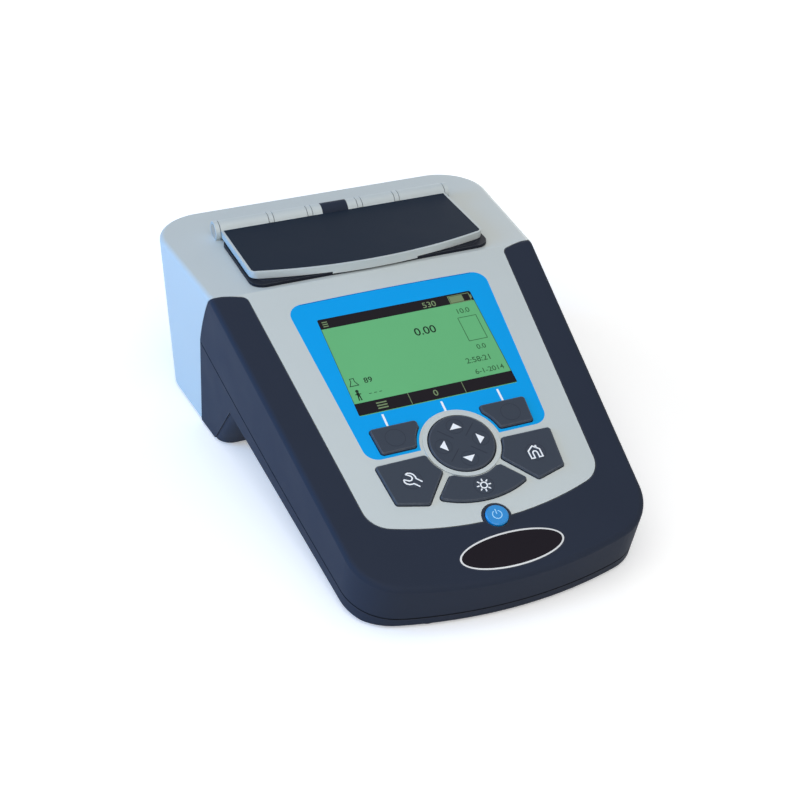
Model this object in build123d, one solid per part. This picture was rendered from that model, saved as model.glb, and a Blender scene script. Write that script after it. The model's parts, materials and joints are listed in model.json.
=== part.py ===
"""Portable bench spectrophotometer with a flip-up lid over its cell compartment.

Millimetres. X is across the instrument, +Y is the rear, +Z is up, and the table is z = 0.
The panel has its own frame: u is across, v runs up the slope, h stands out of the panel.
"""
from build123d import *
import math
import os

# Overall size
body_width = 178.0
body_length = 261.0
deck_height = 87.0
panel_tilt = 20.5
crease_y = 37.0
foot_height = 2.0

# Housing shells
wall = 3.0
seam_gap = 0.3
edge_round = 2.5
rear_corner_radius = 25.0
crease_inset = 5.0
wall_draft = 1.5
front_rake = 15.5
underside_slope = 0.228
notch_front_flat = 22.0
notch_depth = 24.0
outline_spare = 34.0
rear_box_front_y = 41.0
foot_corner_radius = 8.0
corner_search = 6.0
same_way = 0.01
seam_rear = (57.5, 54.0)
seam_middle = (-30.5, 27.8)
seam_front_height = 6.5
cover_edge_top_y = 36.0
cover_edge_middle = (49.0, 72.0)
cover_edge_low = (57.5, 55.0)
cover_edge_foot_y = 68.5
slab_overlap = 9.0

# Outline of the sloping panel, measured from the display centre
display_from_crease = 53.0
panel_front_bow = 13.0
panel_corner_radius = 25.0
panel_side_slope = 0.0895
band_end = 51.0
band_end_slope = 0.3
band_width = 17.4
tongue_side_slope = 0.0835
tongue_front = 96.5
tongue_front_bow = 10.5
tongue_corner_radius = 13.0
band_corner_radius = 4.0
ledge_width = 4.0
ledge_overlap = 2.0
ledge_thickness = 2.0

# Display and the overlay round it
display_width = 78.8
display_height = 58.6
display_corner_radius = 1.0
overlay_thickness = 0.5
overlay_top = 40.2
overlay_top_bow = 0.7
overlay_half_width = 51.2
overlay_side_slope = 0.075
overlay_bottom = 54.0
overlay_corner_radius = 7.0
overlay_nav_gap = 1.4
lcd_margin = 1.5
lcd_thickness = 3.5
backlight_thickness = 3.2
lcd_frame_wall = 2.0
lcd_frame_depth = 3.5
fit_gap = 0.3

# Control board and key mat
mat_depth = 6.0
mat_thickness = 1.2
mat_half_width = 43.0
mat_top = -33.5
mat_bottom = -88.0
board_thickness = 1.6
board_half_width = 50.0
board_top = 41.0
board_bottom = -103.0
board_corner_radius = 4.0
standoff_radius = 2.8
standoff_places = ((46.5, 37.0), (46.5, -50.0))
board_screw_radius = 1.0
board_screw_head_radius = 2.0
board_screw_head = 1.2
board_screw_reach = 4.0

# Keys
key_gap = 0.35
key_height = 1.3
key_travel = 0.8
key_flange = 1.2
key_flange_gap = 0.1
key_flange_thickness = 1.2
key_bevel = 0.5
key_corner_radius = 1.5
soft_key_corners = ((-38.4, -38.0), (-15.7, -38.0), (-15.7, -52.2), (-37.2, -52.2))
tools_key_corners = (
    (-42.8, -57.5),
    (-10.0, -57.2),
    (-10.0, -62.6),
    (-26.3, -82.6),
    (-40.6, -78.8),
)
backlight_key_top = (12.5, -70.8)
backlight_key_low = (21.5, -81.0)
backlight_key_foot_v = -86.5
nav_centre_v = -55.4
nav_radius = 15.2
nav_gap = 0.6
nav_ring_width = 2.0
nav_ring_height = 0.6
nav_flange_drop = 0.8
nav_flange_thickness = 1.0
soft_key_moat = 20.7
lower_key_moat = 18.5
power_centre_v = -95.4
power_radius = 5.2
power_surround = 1.05
switch_side = 6.0
switch_gap = 0.25

# Bare oval plaque at the front of the bezel
plaque_centre_v = -112.7
plaque_half_width = 24.4
plaque_half_height = 8.6
plaque_recess = 0.6
plaque_proud = 0.2
plaque_rim_width = 0.8

# Lid and its hinge
hinge_y = 98.7
hinge_rise = 3.6
barrel_radius = 5.0
barrel_clearance = 0.4
pin_radius = 1.5
pin_running_gap = 0.06
lid_half_width = 61.0
lid_thickness = 3.5
lid_rise = 5.5
lid_front_y = 38.0
lid_front_bow = 8.5
lid_corner_radius = 5.0
lid_border = 2.1
insert_hinge_gap = 0.1
insert_thickness = 1.0
insert_sink = 0.3
lip_half_width = 30.0
lip_depth = 1.0
lip_thickness = 2.4
post_places = (13.6, 34.2)
post_width = 2.4
post_gap = 0.35
centre_block_half_width = 7.0
end_post_width = 2.3
cap_radius = 4.0
cap_thickness = 0.8

# Cell compartment under the lid
rim_half_width = 62.0
rim_front_y = 39.4
rim_rear_y = 92.6
rim_height = 1.7
rim_corner_radius = 7.0
tray_half_width = 55.0
tray_front_y = 44.5
tray_rear_y = 89.5
tray_corner_radius = 4.0
tray_wall = 1.6
tray_depth = 10.0
gasket_width = 3.0
gasket_depth = 1.0
gasket_proud = 0.15
light_trap_depth = 3.0
light_trap_wall = 1.4
light_trap_gap = 2.5
cell_centre_y = 67.0
cell_side = 25.6
cell_depth = 42.0
adapter_length = 53.0
adapter_width = 29.4
adapter_collar = 3.0
adapter_collar_height = 2.0
adapter_floor = 3.0
holder_wall = 4.0
beam_rise = 10.0
beam_radius = 4.0

# Optical bench
bench_height = 27.0
bench_thickness = 3.0
bench_side_gap = 13.0
bench_front_y = 46.0
bench_rear_y = 110.0
bench_post_radius = 4.0
bench_post_inset = 14.0
bench_post_ys = (62.0, 102.0)
lamp_radius = 4.0
lamp_length = 13.0
lamp_x = -54.0
lamp_holder_size = (8.0, 14.0)
lamp_holder_cap = 8.0
lens_x = -41.0
lens_radius = 7.0
lens_thickness = 4.0
lens_holder_size = (5.0, 20.0)
lens_curve_radius = 20.0
spectrometer_x = 38.0
spectrometer_width = 34.0
spectrometer_length = 50.0
spectrometer_head = 11.0
spectrometer_wall = 1.8
slit_radius = 2.0
grating_side = 14.0
grating_thickness = 3.0
detector_length = 16.0
detector_height = 10.0
detector_thickness = 3.0

# Main board and ribbon cable
main_board_half_width = 50.0
main_board_front_y = -78.0
main_board_rear_y = 14.0
main_board_lift = 6.0
main_post_radius = 3.0
main_post_inset = 6.0
ribbon_width = 24.0
ribbon_thickness = 0.6
ribbon_bulge = 5.0
ribbon_top_v = 16.0
ribbon_board_inset = 8.0

# Batteries and their bay
battery_radius = 7.2
battery_length = 49.5
battery_nub_radius = 2.7
battery_nub_length = 1.2
battery_pitch = 15.0
battery_count = 4
battery_centre_y = 88.0
battery_clearance = 0.4
bay_wall = 1.5
contact_length = 3.0
contact_side = 9.0
contact_plate = 0.5
door_thickness = 1.6
door_ledge = 3.0
door_side_ledge = 9.6
door_corner_radius = 3.0
gasket_thickness = 0.4
door_gasket_width = 2.0

# Feet, screws and the port cover
foot_radius = 5.0
foot_recess = 1.0
foot_chamfer = 0.5
front_foot_inset = (51.0, 16.2)
rear_foot_inset = (23.0, 24.5)
screw_radius = 1.5
screw_head_radius = 2.9
screw_head_height = 1.6
screw_reach = 8.0
boss_radius = 3.6
boss_height = 26.0
rib_thickness = 2.0
side_screw_inset = 11.5
side_screw_y = 80.0
rear_screw_inset = (37.0, 11.5)
front_screw_inset = (32.0, 26.5)
door_screw_x = 36.0
door_screw_inset = 6.0
door_boss_height = 6.0
door_screw_head = 1.0
port_cover_width = 44.0
port_cover_height = 22.0
port_cover_x = -34.0
port_cover_z = 34.0
port_cover_depth = 1.5
port_cover_radius = 3.0

# Places worked out from the sizes above
half_width = body_width / 2
half_length = body_length / 2
crease_half_width = half_width - crease_inset
band_end_half_width = crease_half_width - band_width
tilt = math.radians(panel_tilt)
draft = math.tan(math.radians(wall_draft))
display_y = crease_y - display_from_crease * math.cos(tilt)
display_z = deck_height - display_from_crease * math.sin(tilt)
panel = Plane(
    origin=(0, display_y, display_z),
    x_dir=(1, 0, 0),
    z_dir=(0, -math.sin(tilt), math.cos(tilt)),
)
nose_turn = math.radians(90 + front_rake - panel_tilt) / 2
nose_lean = math.radians(90 - front_rake - panel_tilt) / 2
nose = edge_round * (math.cos(nose_lean) / math.cos(nose_turn) - 1)
panel_front = (display_y + half_length + nose) / math.cos(tilt)
floor_top = foot_height + wall
hinge_z = deck_height + hinge_rise
lid_top = deck_height + lid_rise
lid_bottom = lid_top - lid_thickness
rim_top = deck_height + rim_height
insert_rear_y = hinge_y - barrel_radius - insert_hinge_gap
end_post_inner_x = lid_half_width + post_gap
tray_floor_height = deck_height - tray_depth
cell_floor_height = deck_height - cell_depth
beam_height = cell_floor_height + beam_rise
bench_top = bench_height + bench_thickness
lcd_width = display_width + 2 * lcd_margin
lcd_height = display_height + 2 * lcd_margin
board_face = -(mat_depth + mat_thickness)
board_back = board_face - board_thickness
flange_top = -(wall + key_flange_gap)
flange_bottom = flange_top - key_flange_thickness
bay_half_width = battery_pitch * battery_count / 2 + battery_clearance
bay_half_length = battery_length / 2 + contact_length
battery_axis_z = floor_top + battery_clearance + battery_radius
bay_top = battery_axis_z + battery_radius + battery_clearance
bench_half_width = half_width - bench_side_gap
bench_post_places = [(bench_half_width - bench_post_inset, y) for y in bench_post_ys]
side_screw = (half_width - side_screw_inset, side_screw_y)
rear_screw = (half_width - rear_screw_inset[0], half_length - rear_screw_inset[1])
front_screw = (half_width - front_screw_inset[0], front_screw_inset[1] - half_length)
front_foot = (half_width - front_foot_inset[0], front_foot_inset[1] - half_length)
rear_foot = (half_width - rear_foot_inset[0], half_length - rear_foot_inset[1])
far = 2 * body_length


def panel_solid(sketch, bottom, top):
    """Raise a panel sketch between two heights above the panel face."""
    return extrude(panel.offset(bottom) * sketch, amount=top - bottom)


def flat_solid(sketch, bottom, top):
    """Raise a plan sketch between two heights above the table."""
    return extrude(Plane.XY.offset(bottom) * sketch, amount=top - bottom)


def side_solid(sketch, reach=far):
    """Sweep a side-view sketch across the width."""
    return extrude(Plane.YZ * sketch, amount=reach, both=True)


def box(x0, x1, y0, y1, z0, z1):
    """Return a block between two corners."""
    return Pos((x0 + x1) / 2, (y0 + y1) / 2, (z0 + z1) / 2) * Box(x1 - x0, y1 - y0, z1 - z0)


def across(radius, x0, x1, y, z):
    """Return a round bar that runs across the instrument."""
    return Pos((x0 + x1) / 2, y, z) * Rot(0, 90, 0) * Cylinder(radius, x1 - x0)


def along(radius, x, y0, y1, z):
    """Return a round bar that runs front to back."""
    return Pos(x, (y0 + y1) / 2, z) * Rot(90, 0, 0) * Cylinder(radius, y1 - y0)


def upright(radius, x, y, z0, z1):
    """Return a round bar that stands up."""
    return Pos(x, y, (z0 + z1) / 2) * Cylinder(radius, z1 - z0)


def plan(x_half, y0, y1, radius):
    """Return a rounded rectangle centred on x = 0."""
    return Pos(0, (y0 + y1) / 2) * RectangleRounded(2 * x_half, y1 - y0, radius)


def both_sides(shape):
    """Return a shape joined to its mirror image across the middle."""
    return Part() + [shape, mirror(shape, about=Plane.YZ)]


def moved_in(sketch, distance):
    """Return an outline pulled in, or let out where the distance is negative."""
    return offset(sketch, amount=-distance, kind=Kind.INTERSECTION)


# Outlines of the housing
def slab_half_width(v):
    """Half width of the panel at a place on its slope."""
    return crease_half_width - panel_side_slope * (display_from_crease - v)


def tongue_half_width(v):
    """Half width of the silver tongue at a place on the slope."""
    return band_end_half_width - tongue_side_slope * (band_end - v)


def slab_outline():
    """Panel outline: tapering sides, rounded front corners and a bowed front edge."""
    corner_v = panel_front_bow - panel_front
    top_v = display_from_crease + outline_spare
    right = (slab_half_width(corner_v), corner_v)
    right_top = (slab_half_width(top_v), top_v)
    left = (-right[0], corner_v)
    left_top = (-right_top[0], top_v)
    face = make_face([
        ThreePointArc(left, (0, -panel_front), right),
        Line(right, right_top),
        Line(right_top, left_top),
        Line(left_top, left),
    ])
    return fillet(face.vertices().sort_by(Axis.Y)[:2], panel_corner_radius)


def rear_outline():
    """Plan outline of the deep rear box, widening a little towards the rear."""
    top_half_width = half_width + edge_round * draft
    top_rear_y = half_length + edge_round * draft
    straight = top_rear_y - rear_corner_radius - crease_y
    spread = math.atan2(top_half_width - crease_half_width, straight)
    corner_x = top_half_width - rear_corner_radius + rear_corner_radius * (
        math.tan(spread) + 1 / math.cos(spread)
    )
    start_y = crease_y - outline_spare
    start_x = corner_x - (top_rear_y - start_y) * math.tan(spread)
    face = make_face(Polyline(
        (-start_x, start_y),
        (start_x, start_y),
        (corner_x, top_rear_y),
        (-corner_x, top_rear_y),
        close=True,
    ))
    return fillet(face.vertices().sort_by(Axis.Y)[2:], rear_corner_radius)


def tongue_outline():
    """Silver tongue of the top cover, with a bowed lower edge."""
    corner_v = tongue_front_bow - tongue_front
    right = (tongue_half_width(corner_v), corner_v)
    right_top = (band_end_half_width, band_end)
    left = (-right[0], corner_v)
    left_top = (-right_top[0], band_end)
    face = make_face([
        ThreePointArc(left, (0, -tongue_front), right),
        Line(right, right_top),
        Line(right_top, left_top),
        Line(left_top, left),
    ])
    return fillet(face.vertices().sort_by(Axis.Y)[:2], tongue_corner_radius)


def silver_outline():
    """Tongue joined to the full width of the deck, with rounded inner corners."""
    reach = body_width
    rise = (reach - band_end_half_width) * band_end_slope
    bar = make_face(Polyline(
        (-band_end_half_width, band_end),
        (band_end_half_width, band_end),
        (reach, band_end + rise),
        (reach, band_end + body_width),
        (-reach, band_end + body_width),
        (-reach, band_end + rise),
        close=True,
    ))
    face = tongue_outline() + bar
    inner = [
        vertex for vertex in face.vertices()
        if abs(vertex.Y - band_end) < seam_gap and abs(vertex.X) < half_width
    ]
    return fillet(inner, band_corner_radius)


def side_profile(inset=0.0):
    """Side view of the whole body, with the wedge-shaped gap under the slab."""
    front_y = -half_length - outline_spare
    rise_y = -half_length + notch_front_flat
    apex_y = rear_box_front_y - notch_depth
    apex_z = foot_height + underside_slope * (apex_y - rise_y)
    front_z = deck_height - (crease_y - front_y) * math.tan(tilt)
    rear_y = cover_edge_foot_y + slab_overlap
    face = make_face(Polyline(
        (front_y, foot_height),
        (rise_y, foot_height),
        (apex_y, apex_z),
        (rear_box_front_y, foot_height),
        (rear_y, foot_height),
        (rear_y, deck_height),
        (crease_y, deck_height),
        (front_y, front_z),
        close=True,
    ))
    return offset(face, amount=-inset) if inset else face


def top_skin():
    """Side view of the wall that lies directly under the panel and the deck."""
    front_y = -half_length - outline_spare
    front_z = deck_height - (crease_y - front_y) * math.tan(tilt)
    inner_crease_y = crease_y + wall * math.tan(tilt / 2)
    return make_face(Polyline(
        (front_y, front_z + wall),
        (crease_y, deck_height + wall),
        (half_length, deck_height + wall),
        (half_length, deck_height - wall),
        (inner_crease_y, deck_height - wall),
        (front_y, front_z - wall / math.cos(tilt)),
        close=True,
    ))


def below_seam(drop=0.0):
    """Region under the seam between the bezel and the lower housing."""
    front = (-half_length + notch_front_flat / 2, seam_front_height - drop)
    middle = (seam_middle[0], seam_middle[1] - drop)
    rear = (seam_rear[0], seam_rear[1] - drop)
    return side_solid(make_face([
        Line((-far, -far), (far, -far)),
        Line((far, -far), (far, rear[1])),
        Line((far, rear[1]), rear),
        ThreePointArc(rear, middle, front),
        Line(front, (-far, front[1])),
        Line((-far, front[1]), (-far, -far)),
    ]))


def behind_cover_edge(shift=0.0):
    """Region behind the line where the silver cover meets the dark shells."""
    top = (cover_edge_top_y + shift, deck_height + wall)
    middle = (cover_edge_middle[0] + shift, cover_edge_middle[1])
    low = (cover_edge_low[0] + shift, cover_edge_low[1])
    foot = (cover_edge_foot_y + shift, -wall)
    return side_solid(make_face([
        ThreePointArc(top, middle, low),
        Line(low, foot),
        Line(foot, (far, -wall)),
        Line((far, -wall), (far, top[1])),
        Line((far, top[1]), top),
    ]))


# Key outlines on the panel
def round_all(face, radius=key_corner_radius):
    """Round every corner of a key outline."""
    return fillet(face.vertices(), radius)


def nav_moat(radius):
    """Disc round the navigation key that its neighbours stay out of."""
    return Pos(0, nav_centre_v) * Circle(radius)


def soft_key_outline():
    """Left soft key, with its inner side curved round the navigation key."""
    shape = make_face(Polyline(*soft_key_corners, close=True))
    return round_all(shape - nav_moat(soft_key_moat))


def tools_key_outline():
    """Left lower key, whose outer edge runs towards the front corner."""
    shape = make_face(Polyline(*tools_key_corners, close=True))
    return round_all(shape - nav_moat(lower_key_moat))


def backlight_key_outline():
    """Middle lower key, fanning out under the navigation key."""
    top_right, right = backlight_key_top, backlight_key_low
    top_left = (-top_right[0], top_right[1])
    left = (-right[0], right[1])
    shape = make_face([
        Line(top_left, top_right),
        Line(top_right, right),
        ThreePointArc(right, (0, backlight_key_foot_v), left),
        Line(left, top_left),
    ])
    return round_all(shape - nav_moat(lower_key_moat))


def key_piece(outline):
    """Key cap that stands out of the panel, on a flange that stops behind it."""
    cap = panel_solid(outline, flange_bottom, key_height)
    top = cap.faces().sort_by(lambda f: f.center().dot(panel.z_dir))[-1]
    cap = chamfer(top.edges(), key_bevel)
    return cap + panel_solid(moved_in(outline, -key_flange), flange_bottom, flange_top)


def key_hole(outline, gap=key_gap):
    """Opening through the panel for one key."""
    return panel_solid(moved_in(outline, -gap), -2 * wall, 2 * wall)


soft_left = soft_key_outline()
tools_left = tools_key_outline()
key_outlines = {
    "soft_key_left": soft_left,
    "soft_key_right": mirror(soft_left, about=Plane.YZ),
    "tools_key": tools_left,
    "home_key": mirror(tools_left, about=Plane.YZ),
    "backlight_key": backlight_key_outline(),
}
nav_outline = Pos(0, nav_centre_v) * Circle(nav_radius)
power_outline = Pos(0, power_centre_v) * Circle(power_radius)
power_ring_outline = Pos(0, power_centre_v) * Circle(power_radius + key_gap + power_surround)
plaque_outline = Pos(0, plaque_centre_v) * Ellipse(plaque_half_width, plaque_half_height)


# Blocks that the three shells are cut from
def round_foot(block, inset=0.0):
    """Round the upright corners at the front of the rear box, under the slab."""
    radius = foot_corner_radius - inset
    middle_y = rear_box_front_y - notch_depth / 2
    corner = [
        edge for edge in block.edges()
        if abs(edge.center().Y - middle_y) < corner_search
        and edge.center().X > corner_search
        and edge.center().Z < foot_height + notch_depth
    ][0]
    foot, head = sorted((corner @ 0, corner @ 1), key=lambda point: point.Z)
    way = head - foot
    start = foot - way * (wall / way.length)
    spot = Pos(start.X, start.Y)
    shape = spot * Rectangle(2 * radius, 2 * radius) - spot * Pos(-radius, radius) * Circle(radius)
    cutter = extrude(Plane.XY.offset(start.Z) * shape, amount=2 * way.length, dir=way)
    rise_y = -half_length + notch_front_flat
    line_z = foot_height + inset / math.cos(math.atan(underside_slope))
    ceiling = side_solid(make_face(Polyline(
        (rise_y, line_z),
        (far, line_z + underside_slope * (far - rise_y)),
        (far, -far),
        (rise_y, -far),
        close=True,
    )))
    return block - both_sides(cutter & ceiling)


def slab_blocks():
    """Outer and inner form of the sloping slab."""
    rake = math.radians(front_rake)
    fall = Vector(0, math.sin(rake), -math.cos(rake))
    sketch = slab_outline()
    outer = extrude(panel * sketch, amount=body_length, dir=fall)
    outer = outer & side_solid(side_profile())
    outer = round_foot(outer)
    normal = panel.z_dir
    face = [f for f in outer.faces() if (f.normal_at() - normal).length < same_way][0]
    deck = [f for f in outer.faces() if (f.normal_at() - Vector(0, 0, 1)).length < same_way]
    upper = deck[0].edges() + face.edges()
    keep = [e for e in upper if abs(e.center().X) > seam_gap or e.center().Y < display_y]
    outer = fillet(keep, edge_round)
    inner = extrude(panel * moved_in(sketch, wall), amount=body_length, dir=fall)
    inner = inner & side_solid(side_profile(wall))
    return outer, round_foot(inner, wall)


def rear_blocks():
    """Outer and inner form of the rear box."""
    sketch = rear_outline()
    outer = extrude(Plane.XY.offset(deck_height) * sketch, amount=-deck_height, taper=wall_draft)
    top = outer.faces().sort_by(Axis.Z)[-1]
    keep = [e for e in top.edges() if e.center().Y > crease_y]
    outer = fillet(keep, edge_round)
    inner = extrude(
        Plane.XY.offset(deck_height - wall) * moved_in(sketch, wall + wall * draft),
        amount=-deck_height,
        taper=wall_draft,
    )
    floor = extrude(
        Plane.XY.offset(deck_height - wall) * moved_in(sketch, wall + wall * draft + seam_gap),
        amount=-deck_height,
        taper=wall_draft,
    )
    above_table = box(-far, far, -far, far, foot_height, deck_height)
    return outer & above_table, inner, floor


slab, slab_inside = slab_blocks()
rear, rear_inside, rear_floor = rear_blocks()
behind = behind_cover_edge()
in_front = behind_cover_edge(-seam_gap)
skin = side_solid(top_skin())
silver = silver_outline()
nodes = {}


# Silver top cover
def screw_boss(x, y, rib_x, rib_y):
    """Column for a housing screw, tied to the nearest wall by a rib."""
    column = upright(boss_radius, x, y, floor_top, boss_height)
    half_rib = rib_thickness / 2
    rib = box(
        min(x, rib_x) - half_rib * (rib_x == x),
        max(x, rib_x) + half_rib * (rib_x == x),
        min(y, rib_y) - half_rib * (rib_y == y),
        max(y, rib_y) + half_rib * (rib_y == y),
        floor_top,
        boss_height,
    )
    return (column + rib) & rear


def hinge_post(x, width):
    """Fixed round eye that stands in the deck's trough and holds the hinge pin."""
    eye = across(barrel_radius, x - width / 2, x + width / 2, hinge_y, hinge_z)
    trough_radius = barrel_radius + barrel_clearance
    foot = box(
        x - width / 2,
        x + width / 2,
        hinge_y - trough_radius,
        hinge_y + trough_radius,
        deck_height - wall,
        deck_height,
    )
    return eye + foot


def top_cover():
    """Rear box, deck and tongue in one moulding."""
    shell = (rear - rear_inside) & behind
    plate = (slab & skin & panel_solid(silver, -2 * wall, wall)) - behind
    cover = shell + plate
    cover += both_sides(screw_boss(*side_screw, half_width - wall, side_screw[1]))
    cover += both_sides(screw_boss(*rear_screw, rear_screw[0], half_length - wall))
    for u, v in standoff_places:
        post = panel_solid(Pos(u, v) * Circle(standoff_radius), board_face, -wall / 2)
        cover += both_sides(post)
    ring = nav_moat(nav_radius + nav_gap + nav_ring_width) - nav_moat(nav_radius + nav_gap)
    cover += panel_solid(ring, -wall, nav_ring_height)
    trough_end = end_post_inner_x + end_post_width / 2
    trough_radius = barrel_radius + barrel_clearance
    cover -= across(trough_radius, -trough_end, trough_end, hinge_y, hinge_z)
    for x in post_places:
        cover += both_sides(hinge_post(x, post_width))
    cover += both_sides(hinge_post(end_post_inner_x + end_post_width / 2, end_post_width))

    cover -= panel_solid(overlay_outline(), -overlay_thickness, wall)
    lcd_window = Rectangle(lcd_width + 2 * fit_gap, lcd_height + 2 * fit_gap)
    cover -= panel_solid(lcd_window, -2 * wall, wall)
    for outline in key_outlines.values():
        cover -= key_hole(outline)
    cover -= key_hole(nav_outline, nav_gap)
    cover -= panel_solid(moved_in(power_ring_outline, -seam_gap), -2 * wall, wall)
    tray_hole = plan(
        tray_half_width + fit_gap,
        tray_front_y - fit_gap,
        tray_rear_y + fit_gap,
        tray_corner_radius + fit_gap,
    )
    cover -= flat_solid(tray_hole, deck_height - 2 * wall, deck_height + wall)
    cover -= across(pin_radius, -far, far, hinge_y, hinge_z)
    end_x = end_post_inner_x + end_post_width
    cover -= both_sides(across(cap_radius, end_x - cap_thickness, end_x, hinge_y, hinge_z))
    for x, y in (side_screw, rear_screw):
        cover -= both_sides(upright(screw_radius, x, y, 0, floor_top + screw_reach))
    for u, v in standoff_places:
        hole = Pos(u, v) * Circle(board_screw_radius)
        cover -= both_sides(panel_solid(hole, board_face, board_face + board_screw_reach))
    return cover - port_block(0.0)


def port_block(gap):
    """Shallow block at the back wall that the port cover fills."""
    outline = RectangleRounded(
        port_cover_width - 2 * gap,
        port_cover_height - 2 * gap,
        port_cover_radius,
    )
    wall_y = half_length - (deck_height - port_cover_z) * draft
    place = Plane(
        origin=(port_cover_x, wall_y - port_cover_depth, port_cover_z),
        x_dir=(-1, 0, 0),
        z_dir=(0, 1, 0),
    )
    return extrude(place * outline, amount=wall * 2)


def overlay_outline():
    """Film round the display: tapering sides, cut away round the navigation key."""
    low = overlay_half_width - overlay_side_slope * (overlay_top + overlay_bottom)
    shape = make_face([
        Line((-overlay_half_width, overlay_top), (-low, -overlay_bottom)),
        Line((-low, -overlay_bottom), (low, -overlay_bottom)),
        Line((low, -overlay_bottom), (overlay_half_width, overlay_top)),
        ThreePointArc(
            (overlay_half_width, overlay_top),
            (0, overlay_top + overlay_top_bow),
            (-overlay_half_width, overlay_top),
        ),
    ])
    shape = fillet(shape.vertices(), overlay_corner_radius)
    return shape - nav_moat(nav_radius + nav_gap + nav_ring_width + overlay_nav_gap)


# Dark shells
def front_bezel():
    """Dark band round the tongue, with the ledge that the tongue rests on."""
    shell = slab - slab_inside - below_seam() - in_front
    shell -= panel_solid(moved_in(silver, -seam_gap), -2 * wall, 2 * wall) & skin
    tongue = tongue_outline()
    ledge = moved_in(tongue, -ledge_overlap) - moved_in(tongue, ledge_width)
    ledge -= Pos(0, band_end) * Rectangle(body_width, 2 * edge_round)
    shell += panel_solid(ledge, -wall - ledge_thickness, -wall)
    shell += panel_solid(power_ring_outline, -wall - ledge_thickness, 0)
    shell -= key_hole(power_outline)
    flange_room = moved_in(power_outline, -(key_flange + key_gap))
    shell -= panel_solid(flange_room, -3 * wall, -wall)
    shell -= panel_solid(plaque_outline, -plaque_recess, wall)
    x, y = front_screw
    boss = upright(boss_radius, x, y, floor_top, deck_height) & slab_inside
    boss -= upright(screw_radius, x, y, 0, floor_top + screw_reach)
    return shell + both_sides(boss)


def battery_door_outline(gap):
    """Plan outline of the battery door, or of its recess with the gap added."""
    return plan(
        bay_half_width + door_side_ledge + gap,
        battery_centre_y - bay_half_length - door_ledge - gap,
        battery_centre_y + bay_half_length + door_ledge + gap,
        door_corner_radius,
    )


def door_screw_places():
    """Centres of the four door screws."""
    ends = bay_half_length - door_screw_inset
    return [
        (side * door_screw_x, battery_centre_y + end)
        for side in (-1, 1)
        for end in (-ends, ends)
    ]


def housing_screw_places():
    """Centres of the six screws that hold the shells together."""
    return [
        (side * x, y)
        for side in (-1, 1)
        for x, y in (side_screw, rear_screw, front_screw)
    ]


def foot_centres():
    """Centres of the four feet."""
    return [(side * x, y) for side in (-1, 1) for x, y in (front_foot, rear_foot)]


def lower_housing():
    """Dark base: the slab's underside and the floor of the rear box."""
    shell = ((slab - slab_inside) & below_seam(seam_gap)) - in_front
    floor = rear_floor & box(-far, far, cover_edge_low[0], far, foot_height, floor_top)
    shell += floor
    for x, y in bench_post_places:
        shell += both_sides(upright(bench_post_radius, x, y, foot_height, bench_height))
    for x, y in door_screw_places():
        shell += upright(boss_radius, x, y, foot_height, floor_top + door_boss_height)
    posts = [
        main_board_solid(x, y, -wall / 2, main_board_lift, main_post_radius)
        for x, y in main_post_places()
    ]
    shell += posts
    shell -= flat_solid(battery_door_outline(fit_gap), 0, foot_height + door_thickness)
    gasket_top = foot_height + door_thickness + gasket_thickness
    shell -= flat_solid(door_gasket_outline(), 0, gasket_top)
    shell -= box(
        -bay_half_width,
        bay_half_width,
        battery_centre_y - bay_half_length,
        battery_centre_y + bay_half_length,
        0,
        floor_top,
    )
    for x, y in foot_centres():
        shell -= upright(foot_radius, x, y, 0, foot_height + foot_recess)
    for x, y in housing_screw_places():
        shell -= upright(screw_head_radius, x, y, 0, foot_height + screw_head_height)
        shell -= upright(screw_radius, x, y, 0, floor_top + screw_reach)
    for x, y in door_screw_places():
        shell -= upright(screw_radius, x, y, 0, foot_height + screw_reach)
    for x, y in main_post_places():
        start = main_board_lift - board_screw_reach
        shell -= main_board_solid(x, y, start, main_board_lift, board_screw_radius)
    return shell


def door_gasket_outline():
    """Plan outline of the seal round the battery opening."""
    outer = plan(
        bay_half_width + door_gasket_width,
        battery_centre_y - bay_half_length - door_gasket_width,
        battery_centre_y + bay_half_length + door_gasket_width,
        door_gasket_width,
    )
    inner = Pos(0, battery_centre_y) * Rectangle(2 * bay_half_width, 2 * bay_half_length)
    return outer - inner


def housing_screws():
    """Six screws driven up through the floor."""
    group = []
    for x, y in housing_screw_places():
        head = upright(screw_head_radius, x, y, foot_height, foot_height + screw_head_height)
        shank = upright(screw_radius, x, y, foot_height, floor_top + screw_reach)
        group.append(head + shank)
    return group


def door_screws():
    """Four screws that close the battery door."""
    group = []
    for x, y in door_screw_places():
        head = upright(screw_head_radius, x, y, foot_height - door_screw_head, foot_height)
        shank = upright(screw_radius, x, y, foot_height, foot_height + screw_reach)
        group.append(head + shank)
    return group


def feet():
    """Four rubber feet, each with a bevelled rim."""
    group = []
    for x, y in foot_centres():
        pad = upright(foot_radius, x, y, 0, foot_height + foot_recess)
        rim = pad.edges().group_by(Axis.Z)[0]
        group.append(chamfer(rim, foot_chamfer))
    return group


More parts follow.
